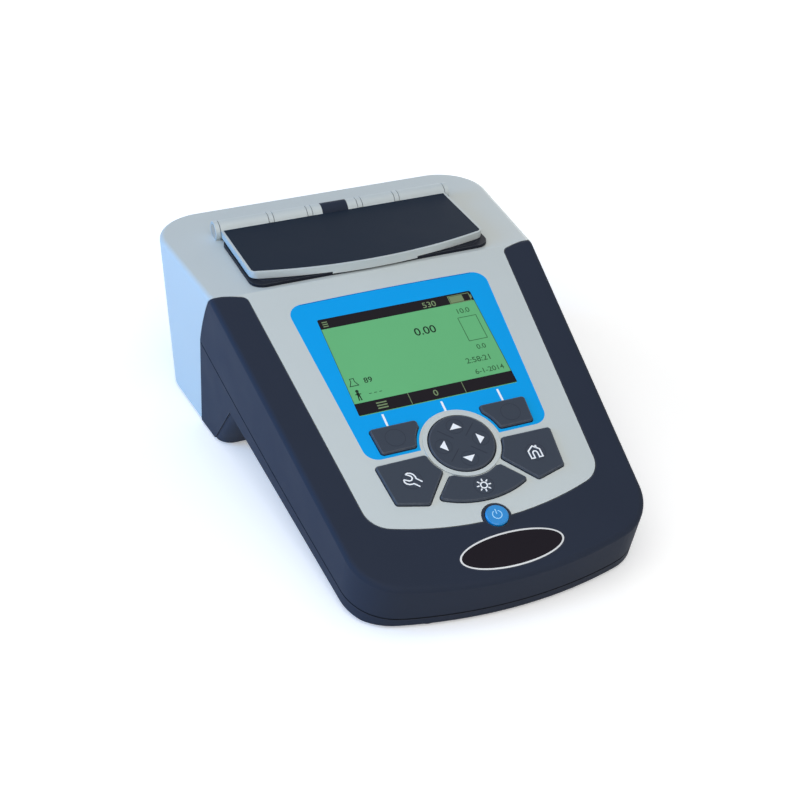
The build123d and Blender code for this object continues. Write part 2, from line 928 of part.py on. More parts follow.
# Display and controls
def display_parts():
    """Overlay, window, panel, backlight and the frame that holds them."""
    window = RectangleRounded(display_width, display_height, display_corner_radius)
    film = overlay_outline() - window
    for name in ("soft_key_left", "soft_key_right"):
        film -= moved_in(key_outlines[name], -key_gap)
    lcd_top = -overlay_thickness
    lcd_bottom = lcd_top - lcd_thickness
    light_bottom = lcd_bottom - backlight_thickness
    lcd = Rectangle(lcd_width, lcd_height)
    frame_inside = Rectangle(lcd_width + 2 * fit_gap, lcd_height + 2 * fit_gap)
    outer = 2 * (fit_gap + lcd_frame_wall)
    frame = Rectangle(lcd_width + outer, lcd_height + outer) - frame_inside
    nodes["display_overlay"] = panel_solid(film, lcd_top, 0)
    nodes["display_window"] = panel_solid(window, lcd_top, 0)
    nodes["display_panel"] = panel_solid(lcd, lcd_bottom, lcd_top)
    nodes["display_backlight"] = panel_solid(lcd, light_bottom, lcd_bottom)
    nodes["display_frame"] = panel_solid(frame, board_face, -wall)


def control_board():
    """Board under the display and the keys, screwed to the cover's posts."""
    height = board_top - board_bottom
    middle = (board_top + board_bottom) / 2
    outline = Pos(0, middle) * RectangleRounded(2 * board_half_width, height, board_corner_radius)
    board = panel_solid(outline, board_back, board_face)
    for u, v in standoff_places:
        hole = Pos(u, v) * Circle(board_screw_radius)
        board -= both_sides(panel_solid(hole, board_back, board_face))
    return board


def board_screws():
    """Four screws that hold the control board to its posts."""
    group = []
    for u, v in standoff_places:
        for side in (-1, 1):
            spot = Pos(side * u, v)
            head = spot * Circle(board_screw_head_radius)
            shank = spot * Circle(board_screw_radius)
            screw = panel_solid(head, board_back - board_screw_head, board_back)
            screw += panel_solid(shank, board_back, board_face + board_screw_reach)
            group.append(screw)
    return group


def keypad_mat():
    """Rubber mat that springs the keys back."""
    outline = make_face(Polyline(
        (-mat_half_width, mat_top),
        (mat_half_width, mat_top),
        (mat_half_width, mat_bottom),
        (-mat_half_width, mat_bottom),
        close=True,
    ))
    return panel_solid(outline, board_face, -mat_depth)


def nav_key():
    """Round rocking key on a flange set deep enough to tilt under the panel."""
    top_face = flange_top - nav_flange_drop
    bottom = top_face - nav_flange_thickness
    cap = panel_solid(nav_outline, bottom, key_height)
    top = cap.faces().sort_by(lambda f: f.center().dot(panel.z_dir))[-1]
    cap = chamfer(top.edges(), key_bevel)
    return cap + panel_solid(moved_in(nav_outline, -key_flange), bottom, top_face)


def power_switch():
    """Small push switch under the power key."""
    outline = Pos(0, power_centre_v) * Rectangle(switch_side, switch_side)
    return panel_solid(outline, board_face, flange_bottom - key_travel - switch_gap)


# Lid
def lid_outline(inset=0.0):
    """Plan outline of the lid, with a bowed front edge."""
    front = lid_front_y + lid_front_bow
    side = lid_half_width
    face = make_face([
        ThreePointArc((-side, front), (0, lid_front_y), (side, front)),
        Line((side, front), (side, hinge_y)),
        Line((side, hinge_y), (-side, hinge_y)),
        Line((-side, hinge_y), (-side, front)),
    ])
    face = fillet(face.vertices().sort_by(Axis.Y)[:2], lid_corner_radius)
    return moved_in(face, inset) if inset else face


def lid_spans():
    """Stretches of the hinge line that belong to the lid, on the right side."""
    half_post = post_width / 2 + post_gap
    first, second = post_places
    return [
        (centre_block_half_width, first - half_post),
        (first + half_post, second - half_post),
        (second + half_post, end_post_inner_x - post_gap),
    ]


def lid_slots():
    """Room round the fixed hinge eyes."""
    room = barrel_radius + barrel_clearance
    slots = []
    for x in post_places:
        half_slot = post_width / 2 + post_gap
        slots.append(box(x - half_slot, x + half_slot, hinge_y - room, far, 0, far))
    return both_sides(Part() + slots)


def insert_outline():
    """Plan outline of the dark insert."""
    front = box(-far, far, -far, insert_rear_y, 0, far)
    outline = flat_solid(lid_outline(lid_border), lid_top - insert_thickness, lid_top + wall)
    return outline & front


def lid_frame():
    """Silver lid plate with its hinge barrels and finger lip."""
    plate = flat_solid(lid_outline(), lid_bottom, lid_top)
    barrels = [across(barrel_radius, a, b, hinge_y, hinge_z) for a, b in lid_spans()]
    outer = both_sides(Part() + barrels)
    centre = centre_block_half_width
    centre_room = box(-centre, centre, insert_rear_y - wall, far, 0, far)
    lid = plate - lid_slots() - centre_room + outer
    lid -= insert_outline()
    ring = lid_outline() - lid_outline(lip_thickness)
    lip = flat_solid(ring, lid_bottom - lip_depth, lid_bottom)
    lip &= box(-lip_half_width, lip_half_width, -far, rim_front_y - fit_gap, 0, far)
    lid += lip
    return lid - across(pin_radius + pin_running_gap, -far, far, hinge_y, hinge_z)


def lid_insert():
    """Dark plate let into the lid, with the centre block of the hinge."""
    plate = insert_outline() & box(-far, far, -far, far, 0, lid_top - insert_sink)
    centre = centre_block_half_width
    block = across(barrel_radius, -centre, centre, hinge_y, hinge_z)
    block += box(-centre, centre, insert_rear_y - wall, hinge_y, lid_bottom, lid_top - insert_sink)
    insert = plate + block
    return insert - across(pin_radius + pin_running_gap, -far, far, hinge_y, hinge_z)


def light_trap():
    """Skirt under the lid that keeps stray light out of the compartment."""
    inset = tray_wall + light_trap_gap
    outer = plan(
        tray_half_width - inset,
        tray_front_y + inset,
        tray_rear_y - inset,
        tray_corner_radius,
    )
    ring = outer - moved_in(outer, light_trap_wall)
    return flat_solid(ring, lid_bottom - light_trap_depth, lid_bottom)


def hinge_pin():
    """Steel pin through all the hinge eyes."""
    end_x = end_post_inner_x + end_post_width - cap_thickness
    return across(pin_radius, -end_x, end_x, hinge_y, hinge_z)


def hinge_caps():
    """Two discs that cover the ends of the pin."""
    end_x = end_post_inner_x + end_post_width
    cap = across(cap_radius, end_x - cap_thickness, end_x, hinge_y, hinge_z)
    return [cap, mirror(cap, about=Plane.YZ)]


# Cell compartment
def tray_outline(inset):
    """Plan outline of the tray wall, pulled in by a distance."""
    return plan(
        tray_half_width - inset,
        tray_front_y + inset,
        tray_rear_y - inset,
        tray_corner_radius,
    )


def gasket_outline():
    """Ring of the lid seal on the rim."""
    outer = plan(
        tray_half_width + gasket_width,
        tray_front_y - gasket_width,
        tray_rear_y + gasket_width / 2,
        rim_corner_radius,
    )
    return outer - moved_in(outer, gasket_width / 2)


def adapter_plan(gap):
    """Plan outline of the adapter body."""
    return Pos(0, cell_centre_y) * Rectangle(adapter_length + 2 * gap, adapter_width + 2 * gap)


def cell_tray():
    """Black tray with a flat rim, let into the deck."""
    rim = plan(rim_half_width, rim_front_y, rim_rear_y, rim_corner_radius)
    tray = flat_solid(rim, deck_height, rim_top)
    tray += flat_solid(tray_outline(0), tray_floor_height, rim_top)
    tray -= flat_solid(tray_outline(tray_wall), tray_floor_height + tray_wall, rim_top)
    tray -= flat_solid(gasket_outline(), rim_top - gasket_depth, rim_top)
    return tray - flat_solid(adapter_plan(fit_gap), 0, deck_height)


def cell_holder():
    """Block under the tray that lines the cell up with the beam."""
    side = adapter_plan(fit_gap + holder_wall)
    bottom = cell_floor_height - adapter_floor - fit_gap
    block = flat_solid(side, bench_top, tray_floor_height)
    block -= flat_solid(adapter_plan(fit_gap), bottom, far)
    return block - across(beam_radius, -far, far, cell_centre_y, beam_height)


def cell_adapter():
    """Lift-out adapter with a square well for the sample cell."""
    bottom = cell_floor_height - adapter_floor
    seat = tray_floor_height + tray_wall
    collar_top = seat + adapter_collar_height
    adapter = flat_solid(adapter_plan(0), bottom, collar_top)
    adapter += flat_solid(adapter_plan(adapter_collar), seat, collar_top)
    well = Pos(0, cell_centre_y) * Rectangle(cell_side, cell_side)
    adapter -= flat_solid(well, cell_floor_height, far)
    return adapter - across(beam_radius, -far, far, cell_centre_y, beam_height)


# Optical bench
def optical_bench():
    """Plate on four posts that carries the lamp, the lens and the spectrometer."""
    return box(
        -bench_half_width,
        bench_half_width,
        bench_front_y,
        bench_rear_y,
        bench_height,
        bench_top,
    )


def lamp_parts():
    """Lamp and lens in their holders, on the left of the cell."""
    y, z = cell_centre_y, beam_height
    half_depth = lamp_holder_size[0] / 2
    half_across = lamp_holder_size[1] / 2
    holder = box(
        lamp_x - half_depth,
        lamp_x + half_depth,
        y - half_across,
        y + half_across,
        bench_top,
        z + lamp_holder_cap,
    )
    nodes["lamp_holder"] = holder - across(lamp_radius, -far, far, y, z)
    tip_x = lamp_x + lamp_length / 2
    bulb = across(lamp_radius, lamp_x - lamp_length / 2, tip_x, y, z)
    nodes["lamp"] = bulb + Pos(tip_x, y, z) * Sphere(lamp_radius)
    half_depth = lens_holder_size[0] / 2
    half_across = lens_holder_size[1] / 2
    holder = box(
        lens_x - half_depth,
        lens_x + half_depth,
        y - half_across,
        y + half_across,
        bench_top,
        z + half_across,
    )
    nodes["lens_holder"] = holder - across(lens_radius, -far, far, y, z)
    nodes["collimating_lens"] = Pos(lens_x, y, z) * lens()


def lens():
    """Lens with one flat and one round face, on the beam axis."""
    flat_x = -lens_thickness / 2
    top_x = lens_thickness / 2
    sag = lens_curve_radius - math.sqrt(lens_curve_radius**2 - lens_radius**2)
    half = lens_radius / 2
    half_sag = lens_curve_radius - math.sqrt(lens_curve_radius**2 - half**2)
    section = make_face([
        Line((flat_x, 0), (flat_x, lens_radius)),
        Line((flat_x, lens_radius), (top_x - sag, lens_radius)),
        ThreePointArc((top_x - sag, lens_radius), (top_x - half_sag, half), (top_x, 0)),
        Line((top_x, 0), (flat_x, 0)),
    ])
    return revolve(section, Axis.X)


def spectrometer_parts():
    """Closed box that splits the light, with its grating and its detector."""
    x0, x1 = spectrometer_x, spectrometer_x + spectrometer_width
    y0 = cell_centre_y - spectrometer_length / 2
    y1 = cell_centre_y + spectrometer_length / 2
    top = beam_height + spectrometer_head
    thick = spectrometer_wall
    case = box(x0, x1, y0, y1, bench_top, top)
    case -= box(x0 + thick, x1 - thick, y0 + thick, y1 - thick, bench_top + thick, top)
    case -= across(slit_radius, x0, x0 + thick, cell_centre_y, beam_height)
    nodes["spectrometer_box"] = case
    nodes["spectrometer_cover"] = box(x0, x1, y0, y1, top, top + thick)
    half_side = grating_side / 2
    back = x1 - thick
    nodes["diffraction_grating"] = box(
        back - grating_thickness,
        back,
        cell_centre_y - half_side,
        cell_centre_y + half_side,
        beam_height - half_side,
        beam_height + half_side,
    )
    front = x0 + thick
    near = y0 + thick
    nodes["detector"] = box(
        front,
        front + detector_thickness,
        near,
        near + detector_length,
        beam_height - detector_height / 2,
        beam_height + detector_height / 2,
    )


# Main board
main_slope = math.atan(underside_slope)
main_floor_z = foot_height + underside_slope * (half_length - notch_front_flat)
main_plane = Plane(
    origin=(0, 0, main_floor_z + wall / math.cos(main_slope)),
    x_dir=(1, 0, 0),
    z_dir=(0, -math.sin(main_slope), math.cos(main_slope)),
)


def main_board_solid(x, y, bottom, top, radius):
    """Round post, hole or screw at a place of the main board."""
    return extrude(main_plane.offset(bottom) * Pos(x, y) * Circle(radius), amount=top - bottom)


def main_post_places():
    """Corners of the main board, where its posts stand."""
    x = main_board_half_width - main_post_inset
    ends = (main_board_front_y + main_post_inset, main_board_rear_y - main_post_inset)
    return [(side * x, y) for side in (-1, 1) for y in ends]


def main_board():
    """Main board, level with the housing's underside."""
    outline = make_face(Polyline(
        (-main_board_half_width, main_board_front_y),
        (main_board_half_width, main_board_front_y),
        (main_board_half_width, main_board_rear_y),
        (-main_board_half_width, main_board_rear_y),
        close=True,
    ))
    top = main_board_lift + board_thickness
    board = extrude(main_plane.offset(main_board_lift) * outline, amount=board_thickness)
    for x, y in main_post_places():
        board -= main_board_solid(x, y, main_board_lift, top, board_screw_radius)
    return board


def main_board_screws():
    """Four screws that hold the main board."""
    top = main_board_lift + board_thickness
    group = []
    for x, y in main_post_places():
        shank_start = main_board_lift - board_screw_reach
        shank = main_board_solid(x, y, shank_start, top, board_screw_radius)
        head = main_board_solid(x, y, top, top + board_screw_head, board_screw_head_radius)
        group.append(shank + head)
    return group


def ribbon_cable():
    """Flat cable between the control board and the main board."""
    upper = panel.from_local_coords(Vector(0, ribbon_top_v, board_back))
    top = main_board_lift + board_thickness
    lower = main_plane.from_local_coords(Vector(0, main_board_rear_y - ribbon_board_inset, top))
    middle_y = (upper.Y + lower.Y) / 2 + ribbon_bulge
    middle_z = (upper.Z + lower.Z) / 2
    thick = ribbon_thickness
    strip = make_face([
        ThreePointArc((upper.Y, upper.Z + thick), (middle_y, middle_z), (lower.Y, lower.Z - thick)),
        Line((lower.Y, lower.Z - thick), (lower.Y + thick, lower.Z - thick)),
        ThreePointArc(
            (lower.Y + thick, lower.Z - thick),
            (middle_y + thick, middle_z),
            (upper.Y + thick, upper.Z + thick),
        ),
        Line((upper.Y + thick, upper.Z + thick), (upper.Y, upper.Z + thick)),
    ])
    cable = side_solid(strip, ribbon_width / 2)
    return cable - nodes["control_board"] - nodes["main_board"]


# Batteries
def battery_parts():
    """Four round cells in their tray, with the contacts at both ends."""
    y0 = battery_centre_y - bay_half_length
    y1 = battery_centre_y + bay_half_length
    outer = bay_half_width + bay_wall
    tray = box(-outer, outer, y0 - bay_wall, y1 + bay_wall, floor_top, bay_top + bay_wall)
    tray -= box(-bay_half_width, bay_half_width, y0, y1, floor_top, bay_top)
    nodes["battery_tray"] = tray
    cells = []
    contacts = []
    for index in range(battery_count):
        x = (index - (battery_count - 1) / 2) * battery_pitch
        way = 1 if index % 2 else -1
        z = battery_axis_z
        near = battery_centre_y - battery_length / 2
        rear_end = battery_centre_y + battery_length / 2
        body = along(battery_radius, x, near, rear_end, z)
        nub_end = battery_centre_y + way * (battery_length / 2 + battery_nub_length)
        nub_start, nub_stop = sorted((battery_centre_y, nub_end))
        body += along(battery_nub_radius, x, nub_start, nub_stop, z)
        cells.append(body)
        half_side = contact_side / 2
        for end in (-1, 1):
            wall_y = battery_centre_y + end * bay_half_length
            inner_y = wall_y - end * contact_plate
            low, high = sorted((wall_y, inner_y))
            plate = box(x - half_side, x + half_side, low, high, z - half_side, z + half_side)
            reach = battery_nub_length if end == way else 0.0
            tip_y = battery_centre_y + end * (battery_length / 2 + reach)
            low, high = sorted((tip_y, inner_y))
            contacts.append(plate + along(battery_nub_radius, x, low, high, z))
    nodes["batteries"] = cells
    nodes["battery_contacts"] = contacts


def battery_door():
    """Door under the batteries, flush with the base."""
    door = flat_solid(battery_door_outline(0), foot_height, foot_height + door_thickness)
    for x, y in door_screw_places():
        door -= upright(screw_radius, x, y, 0, floor_top)
    return door


def plaque_parts():
    """Bare oval plaque and its thin bright rim."""
    inner = Pos(0, plaque_centre_v) * Ellipse(
        plaque_half_width - plaque_rim_width,
        plaque_half_height - plaque_rim_width,
    )
    rim = plaque_outline - inner
    nodes["plaque"] = panel_solid(inner, -plaque_recess, plaque_proud)
    nodes["plaque_rim"] = panel_solid(rim, -plaque_recess, plaque_proud)


nodes["top_cover"] = top_cover()
nodes["front_bezel"] = front_bezel()
nodes["lower_housing"] = lower_housing()
nodes["port_cover"] = port_block(fit_gap) & rear
nodes["housing_screws"] = housing_screws()
nodes["feet"] = feet()
display_parts()
nodes["control_board"] = control_board()
nodes["board_screws"] = board_screws()
nodes["keypad_mat"] = keypad_mat()
for key_name, key_outline in key_outlines.items():
    nodes[key_name] = key_piece(key_outline)
nodes["nav_key"] = nav_key()
nodes["power_key"] = key_piece(power_outline)
nodes["power_switch"] = power_switch()
plaque_parts()
nodes["lid_frame"] = lid_frame()
nodes["lid_insert"] = lid_insert()
nodes["light_trap"] = light_trap()
nodes["hinge_pin"] = hinge_pin()
nodes["hinge_caps"] = hinge_caps()
nodes["cell_tray"] = cell_tray()
nodes["tray_gasket"] = flat_solid(gasket_outline(), rim_top - gasket_depth, rim_top + gasket_proud)
nodes["cell_holder"] = cell_holder()
nodes["cell_adapter"] = cell_adapter()
nodes["optical_bench"] = optical_bench()
lamp_parts()
spectrometer_parts()
nodes["main_board"] = main_board()
nodes["main_board_screws"] = main_board_screws()
nodes["ribbon_cable"] = ribbon_cable()
battery_parts()
nodes["battery_door"] = battery_door()
gasket_bottom = foot_height + door_thickness
nodes["door_gasket"] = flat_solid(
    door_gasket_outline(),
    gasket_bottom,
    gasket_bottom + gasket_thickness,
)
nodes["door_screws"] = door_screws()

os.makedirs("parts", exist_ok=True)
for node_name, shape in nodes.items():
    pieces = shape if isinstance(shape, list) else [shape]
    solids = [solid for piece in pieces for solid in piece.solids()]
    if not solids:
        raise ValueError("nothing in " + node_name)
    whole = Compound(children=solids) if len(solids) > 1 else solids[0]
    export_step(whole, f"parts/{node_name}.step")
    print(node_name, len(solids))
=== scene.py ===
"""Looks of the portable bench spectrophotometer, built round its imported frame."""
import json
import math

import bpy
from mathutils import Matrix, Vector


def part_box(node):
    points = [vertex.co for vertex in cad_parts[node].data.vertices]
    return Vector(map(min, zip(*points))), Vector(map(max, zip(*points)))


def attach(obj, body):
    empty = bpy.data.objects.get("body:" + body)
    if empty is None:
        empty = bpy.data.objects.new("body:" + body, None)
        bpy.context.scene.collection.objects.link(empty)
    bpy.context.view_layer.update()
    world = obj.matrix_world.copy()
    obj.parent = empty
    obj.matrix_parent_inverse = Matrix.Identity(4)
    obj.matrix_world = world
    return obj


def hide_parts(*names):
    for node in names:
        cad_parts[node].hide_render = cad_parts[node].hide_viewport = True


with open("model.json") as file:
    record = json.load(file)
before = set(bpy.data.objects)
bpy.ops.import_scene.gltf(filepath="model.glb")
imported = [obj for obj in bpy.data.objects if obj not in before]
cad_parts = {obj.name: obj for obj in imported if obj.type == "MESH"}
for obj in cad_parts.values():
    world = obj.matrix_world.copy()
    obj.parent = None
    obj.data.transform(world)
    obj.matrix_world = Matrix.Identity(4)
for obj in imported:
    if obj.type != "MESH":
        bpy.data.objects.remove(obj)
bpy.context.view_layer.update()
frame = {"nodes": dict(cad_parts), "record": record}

# Units, and the panel's tilt and heights in millimetres
MM = 0.001
PANEL_TILT = math.radians(20.5)
WINDOW_THICKNESS = 0.5
KEY_TOP = 1.3

# Centres of the signs and rings on the panel, across it and up its slope, in millimetres
NAV_CENTRE = (0.0, -55.4)
POWER_CENTRE = (0.0, -95.4)
TOOLS_CENTRE = (-29.5, -68.6)
HOME_CENTRE = (30.0, -69.0)
HOME_RING_CENTRE = (30.4, -69.1)
BACKLIGHT_CENTRE = (0.4, -79.6)
SOFT_KEY_LEFT_CENTRE = (-28.4, -45.2)
SOFT_KEY_RIGHT_CENTRE = (28.4, -45.2)

# Thickness of prints and width of their lines, in millimetres, and shares of a digit's height
PRINT = 0.03
KEY_PRINT = 0.04
DIGIT_THICKNESS = 0.04
DIGIT_BOLD = 0.012
DIGIT_FONT_SHARE = 1.4
SIGN_LINE = 0.65
SUN_LINE = 0.6
POWER_LINE = 0.42
CHIMNEY_LINE = 0.8
LCD_LINE = 0.35

# Camera of the photograph
CAMERA_PLACE = (-0.2450, -0.5733, 0.4345)
CAMERA_RIGHT = (0.9233, -0.3839, 0.0086)
CAMERA_UP = (0.2009, 0.5021, 0.8412)
CAMERA_BACK = (-0.3273, -0.7750, 0.5407)
CAMERA_LENS = 68.8
SENSOR_WIDTH = 36.0
CLIP_RANGE = (0.01, 50)

# Floor, with its glow near the object and far from it, and the metres in which it changes
FLOOR_HALF_SIZE = 6.0
FLOOR_TONE = (0.90, 0.90, 0.90, 1)
FLOOR_ROUGHNESS = 0.8
FLOOR_SHINE = 0.1
FLOOR_LIFT = (0.34, 0.78)
FLOOR_REACH = (0.16, 0.6)

# Lamps, each with its place and size in metres, its power in watts and its colour
WHITE = (1, 1, 1)
SIDE_BLUE = (0.04, 0.40, 1.0)
WORLD_LEVEL = 0.27
LAMP_TARGET = (0, 0, 0.05)
LAMPS = {
    "key_light": ((-0.22, -0.40, 1.05), 1.3, 8, WHITE),
    "front_light": ((-0.35, -1.10, 0.65), 1.0, 4, WHITE),
    "left_light": ((-1.1, 0.25, 0.35), 0.8, 12, SIDE_BLUE),
    "rear_light": ((0.85, 1.2, 0.25), 0.4, 2.5, WHITE),
}

# Painted shadow line along the seam of the dark shells, for the shade in the gap between them, as
# places along the body and heights, in millimetres
SEAM_REAR = (57.5, 54.0)
SEAM_MIDDLE = (-30.5, 27.8)
SEAM_FRONT = (-119.5, 6.5)
SEAM_HALF_WIDTH = 0.42
SEAM_SOFT_EDGE = (0.5, 1.5)
SEAM_SHADOW_STRENGTH = 0.88
SEAM_SHADOW_TONE = (0.001, 0.001, 0.002, 1)

# Rubbed edges: how far they reach in millimetres, their colour and the turn that shows them
WEAR_REACH = 0.7
WEAR_TONE = (0.8, 0.8, 0.8, 1)
WEAR_TURN = (0.995, 0.90)
WEAR_PATCHES = 350
WEAR_SAMPLES = 4

# Noise of the materials in features a metre, with its spread of tone, gloss and grain
NOISE_DETAIL = 3.0
GRAIN_DETAIL = 2.0
PLASTIC_TONE_SCALE = 30
PLASTIC_GLOSS_SCALE = 60
METAL_TONES = (0.94, 1.04)
METAL_TONE_SCALE = 80
METAL_GLOSS_SCALE = 300
METAL_GRAIN = (1500, 0.01)
GLASS_GLOSS = (0.01, 0.04)
GLASS_GLOSS_SCALE = 100
INK_TONES = (0.96, 1.03)
INK_TONE_SCALE = 200
INK_GLOSS_SCALE = 400

# Shine of the materials
GLASS_INDEX = 1.5
COAT_ROUGHNESS = 0.12
INK_SHINE = 0.1
INK_GLOSS = (0.3, 0.4)
DISPLAY_INK_GLOSS = (0.2, 0.3)

# Lid and its film, in millimetres, with the angle at which its rounded corners start
LID_FILM_INSET = 1.2
LID_FILM_CORNER = 2.2
LID_FILM_CORNER_SHIFT = 1.43
LID_FILM_CORNER_START = -75
LID_FILM_REAR_Y = 93.5
LID_HALF_WIDTH = 61.0
LID_FRONT_Y = 38.0
LID_FRONT_BOW = 8.5
LID_TOP = 92.5
LID_FILM_THICKNESS = 0.12

# Overlay and the ticks on it, in millimetres
OVERLAY_HALF_WIDTH = 51.2
OVERLAY_TOP = 40.2
OVERLAY_BOW = 0.7
OVERLAY_CORNER = 7.0
OVERLAY_PRINT_FOOT = -0.01
TICK_WIDTH = 1.0
TICK_TOP = -30.6
SIDE_TICKS_U = (-28.9, 28.2)
SIDE_TICK_FOOT = -37.4
MIDDLE_TICK_FOOT = -36.3


def srgb(red, green, blue):
    """Linear colour of a display colour given in 0 to 255."""
    def linear(value):
        share = value / 255
        return share / 12.92 if share <= 0.04045 else ((share + 0.055) / 1.055) ** 2.4
    return (linear(red), linear(green), linear(blue), 1.0)


def panel_matrix():
    """Panel frame in metres: u across, v up the slope, h out of the panel."""
    low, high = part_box("display_window")
    centre = (low + high) / 2
    u = Vector((1, 0, 0))
    v = Vector((0, math.cos(PANEL_TILT), math.sin(PANEL_TILT)))
    h = u.cross(v)
    origin = centre + h * (WINDOW_THICKNESS / 2 * MM)
    matrix = Matrix((u, v, h)).transposed().to_4x4()
    matrix.translation = origin
    return matrix


PANEL = panel_matrix()


def on_panel(u, v, h):
    """World place, in metres, of panel coordinates in millimetres."""
    return PANEL @ Vector((u * MM, v * MM, h * MM))


def on_body(x, y, z):
    """World place, in metres, of the body's coordinates in millimetres."""
    return Vector((x * MM, y * MM, z * MM))


def circle_through(first, middle, last):
    """Centre and radius of the circle through three points."""
    (ax, ay), (bx, by), (cx, cy) = first, middle, last
    cross = 2 * (ax * (by - cy) + bx * (cy - ay) + cx * (ay - by))
    a2, b2, c2 = ax * ax + ay * ay, bx * bx + by * by, cx * cx + cy * cy
    x = (a2 * (by - cy) + b2 * (cy - ay) + c2 * (ay - by)) / cross
    y = (a2 * (cx - bx) + b2 * (ax - cx) + c2 * (bx - ax)) / cross
    return (x, y), math.hypot(ax - x, ay - y)


# Camera, stage and lights
def add_camera():
    """Camera at the photograph's place and angle."""
    data = bpy.data.cameras.new("camera")
    data.lens = CAMERA_LENS
    data.sensor_width = SENSOR_WIDTH
    data.sensor_fit = "HORIZONTAL"
    data.clip_start, data.clip_end = CLIP_RANGE
    camera = bpy.data.objects.new("camera", data)
    axes = Matrix((CAMERA_RIGHT, CAMERA_UP, CAMERA_BACK)).transposed()
    camera.matrix_world = Matrix.Translation(CAMERA_PLACE) @ axes.to_4x4()
    bpy.context.scene.collection.objects.link(camera)
    bpy.context.scene.camera = camera


def add_area_light(name, place, size, power, colour):
    """Soft square lamp that looks at the object."""
    data = bpy.data.lights.new(name, "AREA")
    data.size = size
    data.energy = power
    data.color = colour
    lamp = bpy.data.objects.new(name, data)
    lamp.location = place
    away = Vector(place) - Vector(LAMP_TARGET)
    lamp.rotation_mode = "QUATERNION"
    lamp.rotation_quaternion = away.to_track_quat("Z", "Y")
    bpy.context.scene.collection.objects.link(lamp)


def seen_ray(nodes, links):
    """One for camera, glossy and transmission rays, nought for light that falls on things."""
    path = nodes.new("ShaderNodeLightPath")
    glossy = math_node(nodes, links, "MAXIMUM", path.outputs["Is Camera Ray"],
                       path.outputs["Is Glossy Ray"])
    return math_node(nodes, links, "MAXIMUM", glossy, path.outputs["Is Transmission Ray"])


def add_world():
    """Even light all round, with a plain white background to be seen."""
    world = bpy.data.worlds.new("studio")
    bpy.context.scene.world = world
    world.use_nodes = True
    nodes, links = world.node_tree.nodes, world.node_tree.links
    nodes.clear()
    out = nodes.new("ShaderNodeOutputWorld")
    light = nodes.new("ShaderNodeBackground")
    light.inputs["Color"].default_value = (*WHITE, 1)
    light.inputs["Strength"].default_value = WORLD_LEVEL
    shown = nodes.new("ShaderNodeBackground")
    shown.inputs["Color"].default_value = (*WHITE, 1)
    shown.inputs["Strength"].default_value = 1.0
    mix = nodes.new("ShaderNodeMixShader")
    links.new(seen_ray(nodes, links), mix.inputs["Fac"])
    links.new(light.outputs[0], mix.inputs[1])
    links.new(shown.outputs[0], mix.inputs[2])
    links.new(mix.outputs[0], out.inputs["Surface"])


def add_floor():
    """Pale floor that looks white where no shadow falls on it."""
    size = FLOOR_HALF_SIZE
    mesh = bpy.data.meshes.new("floor")
    corners = [(-size, -size, 0), (size, -size, 0), (size, size, 0), (-size, size, 0)]
    mesh.from_pydata(corners, [], [(0, 1, 2, 3)])
    floor = bpy.data.objects.new("floor", mesh)
    bpy.context.scene.collection.objects.link(floor)
    material = bpy.data.materials.new("floor_paint")
    material.use_nodes = True
    nodes, links = material.node_tree.nodes, material.node_tree.links
    shader = nodes["Principled BSDF"]
    shader.inputs["Base Color"].default_value = FLOOR_TONE
    shader.inputs["Roughness"].default_value = FLOOR_ROUGHNESS
    shader.inputs["Specular IOR Level"].default_value = FLOOR_SHINE
    coordinates = nodes.new("ShaderNodeTexCoord")
    distance = nodes.new("ShaderNodeVectorMath")
    distance.operation = "LENGTH"
    links.new(coordinates.outputs["Object"], distance.inputs[0])
    spread = nodes.new("ShaderNodeMapRange")
    links.new(distance.outputs["Value"], spread.inputs["Value"])
    set_range(spread, FLOOR_REACH, FLOOR_LIFT)
    lift = math_node(nodes, links, "MULTIPLY", seen_ray(nodes, links), spread.outputs["Result"])
    shader.inputs["Emission Color"].default_value = (*WHITE, 1)
    links.new(lift, shader.inputs["Emission Strength"])
    mesh.materials.append(material)


# Materials
def new_material(name):
    """Material with a Principled shader, and its nodes and links."""
    material = bpy.data.materials.new(name)
    material.use_nodes = True
    tree = material.node_tree
    return material, tree.nodes, tree.links, tree.nodes["Principled BSDF"]


def noise(nodes, links, scale, detail=NOISE_DETAIL, stretch=None):
    """Noise in object space, with features about 1 / scale metres wide."""
    coordinates = nodes.new("ShaderNodeTexCoord")
    texture = nodes.new("ShaderNodeTexNoise")
    texture.inputs["Scale"].default_value = scale
    texture.inputs["Detail"].default_value = detail
    source = coordinates.outputs["Object"]
    if stretch:
        mapping = nodes.new("ShaderNodeMapping")
        mapping.inputs["Scale"].default_value = stretch
        links.new(source, mapping.inputs["Vector"])
        source = mapping.outputs["Vector"]
    links.new(source, texture.inputs["Vector"])
    return texture.outputs["Fac"]


def add_grain(nodes, links, shader, scale, depth, stretch=None):
    """Fine surface grain as a bump, depth in millimetres."""
    bump = nodes.new("ShaderNodeBump")
    bump.inputs["Strength"].default_value = 1.0
    bump.inputs["Distance"].default_value = depth * MM
    links.new(noise(nodes, links, scale, GRAIN_DETAIL, stretch), bump.inputs["Height"])
    links.new(bump.outputs["Normal"], shader.inputs["Normal"])


def add_tone(nodes, links, shader, low, high, scale):
    """Slow change of colour over the surface."""
    mix = nodes.new("ShaderNodeMix")
    mix.data_type = "RGBA"
    mix.inputs["A"].default_value = low
    mix.inputs["B"].default_value = high
    links.new(noise(nodes, links, scale), mix.inputs["Factor"])
    links.new(mix.outputs["Result"], shader.inputs["Base Color"])


def set_range(node, taken, given):
    """Numbers that a Map Range node takes and gives."""
    node.inputs["From Min"].default_value, node.inputs["From Max"].default_value = taken
    node.inputs["To Min"].default_value, node.inputs["To Max"].default_value = given


